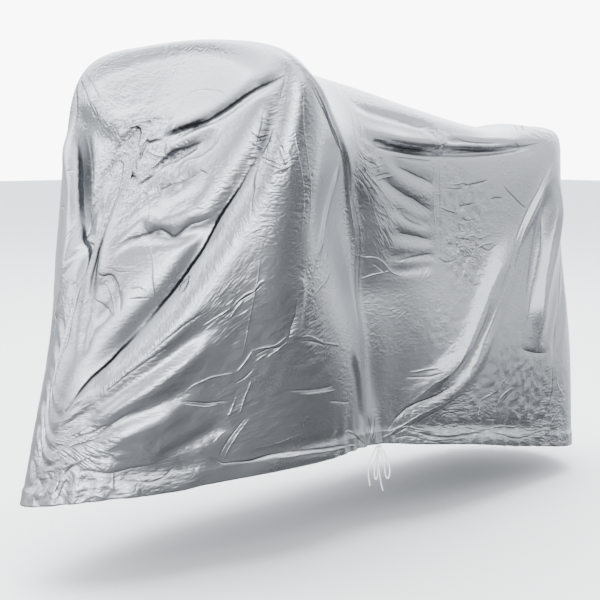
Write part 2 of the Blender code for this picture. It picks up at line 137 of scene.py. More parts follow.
class NodeShop:
    """Makes the nodes of one tree."""

    def __init__(self, tree: bpy.types.NodeTree) -> None:
        """Keeps the tree that the nodes go into."""
        self.tree = tree

    def node(
        self, kind: str, settings: dict, *values: object, out: int | str = 0, **named: object
    ) -> Socket:
        """Adds a node.

        Args:
            kind: the node's type.
            settings: properties that are set before the sockets.
            values: links or values of its inputs, in order. None leaves one as it is.
            out: which output is returned.
            named: links or values of inputs by name.

        Returns:
            The chosen output.
        """
        made = self.tree.nodes.new(kind)
        for key, value in settings.items():
            setattr(made, key, value)
        for socket, value in zip(made.inputs, values):
            self.feed(socket, value)
        for name, value in named.items():
            self.feed(made.inputs[name], value)
        return Socket(self, made.outputs[out])

    def feed(self, socket: bpy.types.NodeSocket, value: object) -> None:
        """Links or sets one input."""
        if isinstance(value, Socket):
            self.tree.links.new(value.link, socket)
        elif value is not None:
            socket.default_value = value

    def coordinates(self, name: str) -> Socket:
        """One output of Texture Coordinate, such as Object."""
        return self.node("ShaderNodeTexCoord", {}, out=name)

    def attribute(self, name: str, out: str = "Fac") -> Socket:
        """The value of a point attribute."""
        return self.node("ShaderNodeAttribute", {"attribute_name": name}, out=out)

    def split(self, place: Socket) -> tuple[Socket, ...]:
        """The three coordinates of a place."""
        first = self.node("ShaderNodeSeparateXYZ", {}, place)
        return tuple(Socket(self, out) for out in first.link.node.outputs)

    def vector(self, x: Socket | float, y: Socket | float, z: Socket | float) -> Socket:
        """A place from its three coordinates."""
        return self.node("ShaderNodeCombineXYZ", {}, x, y, z)

    def scaled(self, place: Socket, scale: Triple) -> Socket:
        """The place scaled along its axes."""
        return self.node("ShaderNodeMapping", {}, place, None, None, scale)

    def noise(self, place: Socket, scale: float, detail: float) -> Socket:
        """Soft noise from 0 to 1."""
        return self.node("ShaderNodeTexNoise", {}, place, None, scale, detail)

    def ridged(self, place: Socket, scale: float, detail: float) -> Socket:
        """Noise that is folded over at its middle, so that its valleys are sharp lines."""
        return (self.noise(place, scale, detail) * 2.0 - 1.0).absolute()

    def warped(self, place: Socket, scale: float, amount: float) -> Socket:
        """The place pushed about by coloured noise."""
        noise = self.node("ShaderNodeTexNoise", {}, place, None, scale, out=1)
        away = self.node("ShaderNodeVectorMath", {"operation": "SUBTRACT"}, noise, (0.5, 0.5, 0.5))
        settings = {"operation": "MULTIPLY_ADD"}
        return self.node("ShaderNodeVectorMath", settings, away, (amount, amount, amount), place)

    def tint(self, factor: Socket, low: Triple | Socket, high: Triple | Socket) -> Socket:
        """A colour between two, by a factor."""
        low, high = (c if isinstance(c, Socket) else (*c, 1.0) for c in (low, high))
        unused = [None] * 5
        return self.node("ShaderNodeMix", {"data_type": "RGBA"}, factor, *unused, low, high, out=2)


class MaterialShop(NodeShop):
    """Makes the nodes of one material, round its Principled shader."""

    def __init__(self, name: str) -> None:
        """Starts a material that holds a Principled shader only."""
        self.material = bpy.data.materials.new(name)
        self.material.use_nodes = True
        super().__init__(self.material.node_tree)
        self.shader = self.tree.nodes["Principled BSDF"]

    def bump(self, height: Socket, distance: float, strength: float = 1.0) -> None:
        """Raises the shader's surface by a height."""
        sizes = {"Strength": strength, "Distance": distance}
        normal = self.node("ShaderNodeBump", {}, Height=height, **sizes)
        self.feed(self.shader.inputs["Normal"], normal)

    def finish(self, **values: object) -> bpy.types.Material:
        """Sets the shader's own sockets.

        Args:
            values: socket names, with _ for a space, and their links or values.

        Returns:
            The material.
        """
        for name, value in values.items():
            self.feed(self.shader.inputs[name.replace("_", " ")], value)
        return self.material


@dataclass(frozen=True)
class SilverFilm:
    """Thin plastic film with a silver face: sharp creases, painted shade in them, fine wrinkles, a satin
    sheen.

    Scales are noise cells in a metre, and heights are millimetres. Each kind of fine wrinkle
    has its width in metres, its length in widths and its height as a share of its width.
    """

    name: str = "silver_film"
    dark: Triple = (0.60, 0.61, 0.63)
    pale: Triple = (0.72, 0.73, 0.75)
    # painted shade: the near-black colour that the bottoms of the deeper creases are mixed towards
    groove: Triple = (0.018, 0.019, 0.022)
    metallic: float = 0.98
    roughness: float = 0.21
    rough_mottle: float = 0.10
    rough_grain: float = 0.06
    mottle_scale: float = 6.0
    grain_scale: float = 320.0
    grain_height: float = 0.004
    coarse_wrinkle: Triple = (0.012, 4.0, 0.34)
    fine_wrinkle: Triple = (0.0066, 5.0, 0.20)
    warp_scale: float = 14.0
    warp: float = 0.02
    net: tuple[float, float] = (44.0, 5.0)
    fine_net: tuple[float, float] = (100.0, 2.4)
    ripple: tuple[float, float] = (62.0, 1.2)
    ripple_flat: Triple = (1.0, 1.0, 1.7)
    ripple_least: float = 0.25
    ripple_spread: float = 0.8
    patch_scale: float = 5.0
    patch_edge: tuple[float, float] = (0.40, 0.68)
    wobble_scale: float = 60.0
    wobble: float = 0.7
    crease_flank: float = 1.3
    # crease_floor and deepest_shade shape the painted shade in crease bottoms: its flat dark core and its
    # darkest share
    crease_floor: float = 0.8
    deepest_shade: float = 0.95

    def _creases(self, shop: NodeShop, place: Socket, layers: int) -> tuple[Socket, Socket]:
        """Draws the sharp creases across the distances that the mesh holds, with painted shade in their
        bottoms.
        """
        wobble = (shop.noise(place, self.wobble_scale, 1.0) - 0.5) * self.wobble
        height, shade = None, None
        for number in range(layers):
            across, rise, depth = shop.split(shop.attribute(f"crease_{number}", "Vector"))
            across = across + wobble
            square = across * across
            ridge = (across.absolute() * -self.crease_flank).exponent() * rise
            # painted shade: darkens the crease's bottom, by the strength in the attribute's third value
            painted_shade = (square * square * -self.crease_floor).exponent() * depth
            height = ridge if height is None else height + ridge
            shade = painted_shade if shade is None else shade.most(painted_shade)
        return height, shade.least(self.deepest_shade)

    def _wrinkles(self, shop: NodeShop) -> Socket:
        """The height of the fine wrinkles that run side by side, in millimetres."""
        across, along, strength = shop.split(shop.attribute("wrinkles", "Vector"))
        total = None
        for width, length, share in (self.coarse_wrinkle, self.fine_wrinkle):
            place = shop.vector(across / width, along / (width * length), 0.0)
            ridge = shop.ridged(place, 1.0, 1.0) * (width * 1000 * share)
            total = ridge if total is None else total + ridge
        return total * strength

    def _crumples(self, shop: NodeShop, place: Socket) -> Socket:
        """The height of the crumpled net and of the slight ripple all over, in millimetres."""
        patches = shop.noise(place, self.patch_scale, 2.0).ramp(*self.patch_edge)
        bent = shop.warped(place, self.warp_scale, self.warp)
        net = None
        for scale, height in (self.net, self.fine_net):
            ridge = shop.ridged(bent, scale, 1.0) * height
            net = ridge if net is None else net + ridge
        scale, height = self.ripple
        ripple = shop.ridged(shop.scaled(bent, self.ripple_flat), scale, 0.0) * height
        ripple = ripple * (patches * self.ripple_spread + self.ripple_least)
        return net * shop.attribute("crumple") + ripple

    def make(self, layers: int) -> bpy.types.Material:
        """Builds the material.

        Args:
            layers: how many layers of creases the film's mesh holds.

        Returns:
            The film's material, on Object coordinates and the sheet's own attributes.
        """
        shop = MaterialShop(self.name)
        place = shop.coordinates("Object")
        mottle = shop.noise(place, self.mottle_scale, 3.0)
        grain = shop.noise(place, self.grain_scale, 2.0)
        creases, shade = self._creases(shop, place, layers)
        height = creases + self._wrinkles(shop) + self._crumples(shop, place)
        height = height + grain * self.grain_height
        shop.bump(height * 0.001, 1.0)
        silver = shop.tint(mottle, self.dark, self.pale)
        return shop.finish(
            # painted shade: the base colour goes towards near black in the crease bottoms
            Base_Color=shop.tint(shade, silver, self.groove),
            Metallic=self.metallic,
            Roughness=mottle * self.rough_mottle + grain * self.rough_grain + self.roughness,
            IOR=1.5,
        )


@dataclass(frozen=True)
class WhiteCord:
    """Soft braided cord, darker in the grooves between its strands."""

    name: str = "white_cord"
    groove: Triple = (0.70, 0.69, 0.66)
    strand: Triple = (0.90, 0.90, 0.88)
    fibre_scale: float = 2600.0
    fibre_height: float = 0.0004
    fibre_tint: float = 0.2
    roughness: float = 0.65
    rough_spread: float = 0.15
    sheen: float = 0.25

    def make(self) -> bpy.types.Material:
        """Builds the material.

        Returns:
            The cord's material, pale on its strands and darker between them.
        """
        shop = MaterialShop(self.name)
        relief = shop.attribute("relief")
        fibre = shop.noise(shop.coordinates("Object"), self.fibre_scale, 3.0)
        shop.bump(fibre, self.fibre_height, 0.5)
        pale = relief * (1.0 - self.fibre_tint) + fibre * self.fibre_tint
        return shop.finish(
            Base_Color=shop.tint(pale, self.groove, self.strand),
            Roughness=fibre * self.rough_spread + self.roughness,
            Sheen_Weight=self.sheen,
        )


@dataclass(frozen=True)
class StudioFloor:
    """Plain pale floor."""

    name: str = "studio_floor"
    colour: Triple = (0.93, 0.93, 0.93)
    roughness: float = 0.85

    def make(self) -> bpy.types.Material:
        """Builds the material."""
        shop = MaterialShop(self.name)
        return shop.finish(Base_Color=(*self.colour, 1.0), Roughness=self.roughness)


# --------------------------------------------------------------------------- the chart


class Shape(Enum):
    """How a fold stands out of the film."""

    TROUGH = "trough"
    RIDGE = "ridge"
    STEP = "step"
    FLANK = "flank"


@dataclass(frozen=True)
class Section:
    """One side's places at one station, and how far the side bulges between them."""

    name: str
    hem: Triple
    shoulder: Triple
    low_out: float
    high_out: float


@dataclass(frozen=True)
class Push:
    """A soft local push, such as a corner that something inside holds out."""

    name: str
    along: float
    round: float
    reach: tuple[float, float]
    move: Triple


@dataclass(frozen=True)
class Fold:
    """A fold along a path of chart places. One that leans is also moved across its path."""

    name: str
    shape: Shape
    width: float
    depth: float
    path: ChartPath
    lean: float = 0.0


@dataclass(frozen=True)
class Crease:
    """A sharp line in the film, much finer than its mesh. Its width and rise are millimetres, and its shade
    is how much painted shade darkens its bottom.
    """

    name: str
    width: float
    rise: float
    # how much painted shade darkens the crease's bottom
    shade: float
    path: ChartPath

    def on_far_side(self, shift: float) -> "Crease":
        """The same crease on the other side, a little further along."""
        path = tuple((a + shift, FAR_HEM - r) for a, r in self.path)
        return Crease("far " + self.name, self.width, self.rise, self.shade, path)


@dataclass(frozen=True)
class Rumple:
    """An area where the film has spare length and buckles into wrinkles."""

    name: str
    middle: tuple[float, float]
    reach: float
    spare: float
    fine: float
    toward: tuple[float, float] | None = None


@dataclass(frozen=True)
class Pucker:
    """A band of short wrinkles that cross a path, side by side."""

    name: str
    reach: float
    strength: float
    slant: float
    path: ChartPath


@dataclass(frozen=True)
class Gather:
    """A run of small upright gathers along the hem."""

    name: str
    along: float
    reach: float
    wave: float
    depth: float


TROUGH, RIDGE, STEP, FLANK = Shape.TROUGH, Shape.RIDGE, Shape.STEP, Shape.FLANK

NEAR_SIDE = (
    #        station   hem x, y, z              shoulder x, y, z          low     high
    Section("nose", (-0.935, 0.030, 0.190), (-0.612, 0.030, 0.985), 0.040, 0.050),
    Section("cheek", (-0.815, -0.120, 0.214), (-0.545, -0.120, 1.045), 0.045, 0.050),
    Section("brow", (-0.605, -0.200, 0.224), (-0.492, -0.265, 1.125), 0.030, 0.045),
    Section("bar", (-0.366, -0.270, 0.239), (-0.430, -0.345, 1.152), 0.020, 0.012),
    Section("tie", (-0.100, -0.280, 0.242), (-0.155, -0.215, 1.040), 0.010, -0.025),
    Section("seat", (0.060, -0.300, 0.225), (0.120, -0.155, 1.010), 0.020, -0.005),
    Section("middle", (0.264, -0.290, 0.191), (0.366, -0.140, 0.997), 0.030, 0.005),
    Section("rear", (0.548, -0.270, 0.135), (0.623, -0.135, 0.990), 0.040, 0.020),
    Section("corner", (0.870, -0.215, 0.080), (0.872, -0.125, 0.985), 0.012, 0.004),
    Section("tail", (0.990, 0.020, 0.110), (1.010, 0.020, 0.965), 0.030, 0.015),
)
CROWN = (
    (-0.580, 0.030, 1.030),
    (-0.520, 0.030, 1.125),
    (-0.462, 0.030, 1.215),
    (-0.425, 0.045, 1.258),
    (-0.160, 0.010, 1.205),
    (0.100, 0.005, 1.158),
    (0.340, 0.005, 1.108),
    (0.620, 0.010, 1.058),
    (0.860, 0.020, 1.062),
    (0.990, 0.020, 1.035),
)
FAR_SIDE = (
    Section("nose", (-0.935, 0.030, 0.190), (-0.612, 0.030, 0.985), 0.040, 0.050),
    Section("cheek", (-0.860, 0.130, 0.185), (-0.610, 0.170, 1.030), 0.020, 0.045),
    Section("brow", (-0.640, 0.220, 0.180), (-0.590, 0.295, 1.110), 0.020, 0.055),
    Section("bar", (-0.380, 0.280, 0.190), (-0.515, 0.335, 1.145), 0.020, 0.020),
    Section("tie", (-0.110, 0.290, 0.200), (-0.180, 0.220, 1.040), 0.010, -0.020),
    Section("seat", (0.060, 0.300, 0.190), (0.110, 0.165, 1.005), 0.020, -0.005),
    Section("middle", (0.270, 0.295, 0.160), (0.360, 0.150, 0.990), 0.030, 0.005),
    Section("rear", (0.550, 0.275, 0.120), (0.610, 0.150, 0.980), 0.040, 0.020),
    Section("corner", (0.830, 0.225, 0.100), (0.850, 0.150, 0.975), 0.025, 0.015),
    Section("tail", (0.990, 0.020, 0.110), (1.010, 0.020, 0.965), 0.030, 0.015),
)
PUSHES = (
    Push("near bar end", 3.00, 3.20, (0.50, 0.40), (0.005, -0.008, 0.020)),
    Push("far bar end", 2.90, 4.85, (0.60, 0.40), (0.000, 0.000, 0.032)),
    Push("near tail corner", 8.40, 3.40, (0.50, 0.45), (0.035, -0.012, 0.012)),
    Push("tail bump", 7.75, 4.50, (0.55, 0.45), (0.000, 0.000, 0.018)),
)
MAIN_FOLDS = (
    #     name, shape, width, depth, path of (along, round), lean
    # Front, seen side
    Fold("hood lip", RIDGE, 0.022, 0.003,
         ((2.8, 3.12), (2.1, 3.16), (1.2, 3.14), (0.5, 3.3), (-0.1, 4.0)), -0.003),
    Fold("under the lip", TROUGH, 0.014, 0.009,
         ((2.75, 3.0), (2.1, 3.02), (1.36, 3.0), (0.86, 3.05), (0.3, 3.2))),
    Fold("far lip", STEP, 0.030, -0.012, ((0.2, 4.8), (1.2, 4.95), (2.2, 5.0))),
    Fold("left pleat", TROUGH, 0.024, 0.034,
         ((-2.0, 2.97), (-1.21, 2.7), (-0.64, 2.37), (-0.1, 2.1), (0.3, 1.7))),
    Fold("pleat lip", RIDGE, 0.024, 0.014, ((-2.2, 2.72), (-1.3, 2.45), (-0.75, 2.1), (-0.2, 1.75)), 0.014),
    Fold("pleat tail", TROUGH, 0.010, 0.012, ((-0.05, 2.1), (0.2, 1.75), (0.3, 1.45), (0.35, 1.2))),
    Fold("long diagonal", TROUGH, 0.024, 0.014,
         ((2.6, 2.98), (2.15, 2.74), (1.95, 2.47), (1.58, 2.13),
          (1.22, 1.69), (0.95, 1.46), (0.62, 1.16), (0.29, 0.81))),
    Fold("diagonal band", FLANK, 0.040, 0.014,
         ((2.5, 2.86), (1.98, 2.16), (1.32, 1.48), (0.78, 1.06), (0.4, 0.76))),
    Fold("second diagonal", TROUGH, 0.024, 0.015,
         ((1.95, 1.42), (1.39, 1.12), (0.95, 0.92), (0.5, 0.68), (0.2, 0.52))),
    Fold("second crest", RIDGE, 0.022, 0.010, ((1.85, 1.18), (1.4, 0.99), (0.9, 0.78), (0.5, 0.62))),
    Fold("third diagonal", TROUGH, 0.020, 0.011, ((1.8, 0.84), (1.3, 0.73), (0.9, 0.64), (0.5, 0.52))),
    Fold("third crest", RIDGE, 0.026, 0.007, ((1.7, 0.62), (1.2, 0.56), (0.7, 0.5))),
    Fold("brow fold", TROUGH, 0.011, 0.014, ((1.1, 2.8), (0.75, 2.8), (0.5, 2.76), (0.25, 2.62))),
    Fold("brow roll", RIDGE, 0.020, 0.010, ((1.3, 2.9), (0.8, 2.9), (0.45, 2.86))),
    Fold("brow shade", TROUGH, 0.026, 0.011, ((1.3, 2.52), (0.9, 2.48), (0.55, 2.46), (0.35, 2.38))),
    Fold("brow sag", TROUGH, 0.018, 0.013, ((1.55, 2.16), (1.1, 2.1), (0.7, 2.18), (0.2, 2.22))),
    Fold("brow sag lip", RIDGE, 0.018, 0.006, ((1.4, 2.26), (0.9, 2.25), (0.5, 2.32))),
    Fold("chin hollow", TROUGH, 0.034, 0.013, ((0.2, 2.0), (0.3, 1.7), (0.55, 1.5))),
    Fold("nose crest", RIDGE, 0.040, 0.004, ((-0.25, 0.6), (0.1, 0.9), (0.5, 1.6), (0.75, 2.0))),
    # Middle, seen side
    Fold("bar edge", RIDGE, 0.016, 0.012, ((2.85, 3.1), (3.31, 2.86), (3.85, 2.72), (4.05, 2.3))),
    Fold("tie line", RIDGE, 0.012, 0.007, ((3.7, 2.8), (3.95, 2.5), (4.12, 2.0), (4.08, 1.5), (3.95, 1.0))),
    Fold("shade by the tie", TROUGH, 0.130, 0.040,
         ((4.5, 2.2), (4.46, 1.5), (4.42, 0.8), (4.34, 0.3), (4.3, -0.6))),
    Fold("hollow by the tie", TROUGH, 0.036, 0.018,
         ((4.0, 2.75), (4.35, 2.1), (4.24, 1.3), (4.14, 0.7), (4.05, 0.08))),
    Fold("groove to the tie", TROUGH, 0.014, 0.010, ((3.7, 0.95), (3.83, 0.6), (3.92, 0.1))),
    Fold("side line", RIDGE, 0.010, 0.005, ((3.75, 2.6), (3.45, 2.08), (3.15, 1.6))),
    Fold("pack fold", RIDGE, 0.013, 0.007, ((2.88, 1.56), (2.87, 1.35), (2.85, 1.16), (2.8, 0.98))),
    Fold("foot sag", TROUGH, 0.018, 0.009, ((2.2, 0.5), (1.85, 0.38), (1.4, 0.27))),
    Fold("side swell", RIDGE, 0.080, 0.016, ((2.9, 2.6), (2.75, 2.1), (2.6, 1.5), (2.3, 1.1))),
    Fold("seat slit", TROUGH, 0.014, 0.018,
         ((4.2, 2.98), (4.75, 2.96), (5.6, 2.95), (6.6, 3.0), (7.8, 3.14))),
    Fold("seat roll", RIDGE, 0.020, 0.011,
         ((4.2, 3.12), (4.9, 3.08), (5.6, 3.08), (6.6, 3.12), (7.5, 3.24)), -0.010),
    Fold("upper sag", TROUGH, 0.016, 0.008, ((4.4, 3.4), (4.9, 3.36), (5.3, 3.34), (5.9, 3.3))),
    Fold("second slit", TROUGH, 0.009, 0.010, ((5.6, 3.08), (6.1, 3.13), (6.7, 3.15), (7.2, 3.2))),
    Fold("first side sag", TROUGH, 0.022, 0.006, ((4.65, 2.8), (5.1, 2.66), (5.65, 2.56))),
    Fold("second side sag", TROUGH, 0.024, 0.008, ((4.45, 2.66), (5.01, 2.43), (5.6, 2.28))),
    Fold("third side sag", TROUGH, 0.018, 0.006, ((4.7, 2.34), (5.15, 2.23), (5.55, 2.17))),
    Fold("fourth side sag", TROUGH, 0.018, 0.006, ((4.7, 2.1), (5.14, 2.05), (5.55, 2.04))),
    Fold("fifth side sag", TROUGH, 0.014, 0.005, ((4.65, 1.85), (5.15, 1.88), (5.6, 1.88))),
    Fold("sixth side sag", TROUGH, 0.014, 0.005, ((4.7, 1.74), (5.12, 1.75), (5.5, 1.79))),
    # Tail, seen side
    Fold("tail crest", RIDGE, 0.022, 0.018,
         ((8.0, 3.05), (7.15, 2.21), (6.49, 1.48), (5.8, 0.66), (4.1, 0.02))),
    Fold("tail groove", TROUGH, 0.020, 0.014,
         ((7.5, 2.48), (6.64, 1.66), (6.16, 1.1), (5.7, 0.68), (4.7, 0.3))),
    Fold("wide crest", RIDGE, 0.032, 0.023,
         ((7.0, 2.2), (6.46, 1.68), (5.88, 1.0), (5.2, 0.59), (4.6, 0.38))),
    Fold("tail band", RIDGE, 0.036, 0.025,
         ((8.0, 2.75), (7.66, 2.1), (7.45, 1.79), (7.21, 1.39), (7.0, 0.9))),
    Fold("band groove", TROUGH, 0.022, 0.014, ((7.7, 2.75), (7.41, 2.19), (7.22, 1.79), (6.95, 1.3))),
    Fold("band foot", TROUGH, 0.009, 0.002, ((6.75, 0.99), (7.05, 0.95), (7.35, 0.97))),
    Fold("corner groove", TROUGH, 0.024, 0.012, ((8.25, 2.4), (8.0, 1.7), (7.64, 1.26), (7.35, 0.8))),
    # Hem, seen side
    Fold("front hem flare", STEP, 0.028, -0.009, ((0.95, 0.12), (1.25, 0.11), (1.6, 0.1), (2.0, 0.08))),
    Fold("middle hem flare", STEP, 0.016, -0.006, ((2.3, 0.11), (2.8, 0.11), (3.3, 0.09), (3.7, 0.07))),
    Fold("rear hem flare", STEP, 0.020, -0.006, ((4.6, 0.12), (5.4, 0.1), (6.3, 0.11), (7.3, 0.12))),
    # Tail and far side
    Fold("tail drop", RIDGE, 0.045, 0.016, ((8.9, 4.9), (8.9, 6.3), (8.7, 7.5))),
    Fold("tail hollow", TROUGH, 0.034, 0.016, ((8.6, 3.2), (8.75, 2.2), (8.6, 1.0))),
    Fold("far tail crest", RIDGE, 0.030, 0.020, ((8.0, 4.95), (7.2, 5.9), (6.4, 6.9), (5.2, 7.7))),
    Fold("far tail groove", TROUGH, 0.022, 0.018, ((7.6, 5.1), (6.7, 6.1), (5.9, 7.0), (5.0, 7.6))),
    Fold("far slit", TROUGH, 0.014, 0.022, ((4.5, 4.98), (5.6, 5.05), (6.6, 5.0), (7.6, 4.9))),
    Fold("far hollow", TROUGH, 0.040, 0.026, ((3.9, 5.3), (4.3, 6.0), (4.1, 7.0), (3.7, 7.8))),
    Fold("far bar corner", RIDGE, 0.022, 0.016, ((2.9, 5.0), (3.5, 5.3), (3.9, 5.7), (3.8, 6.5))),
    Fold("far diagonal", TROUGH, 0.022, 0.022, ((2.9, 5.2), (2.2, 6.0), (1.4, 6.9), (0.8, 7.5))),
    Fold("far crest", RIDGE, 0.030, 0.018, ((3.1, 5.4), (2.5, 6.1), (1.7, 6.9), (1.1, 7.5))),
    Fold("far swell", RIDGE, 0.100, 0.012, ((3.0, 6.2), (3.1, 6.8), (3.0, 7.4))),
    Fold("far sag", TROUGH, 0.030, 0.010, ((4.6, 5.6), (5.3, 5.75), (6.0, 5.8))),
    Fold("second far sag", TROUGH, 0.030, 0.010, ((4.7, 6.1), (5.4, 6.2), (6.2, 6.15))),
)
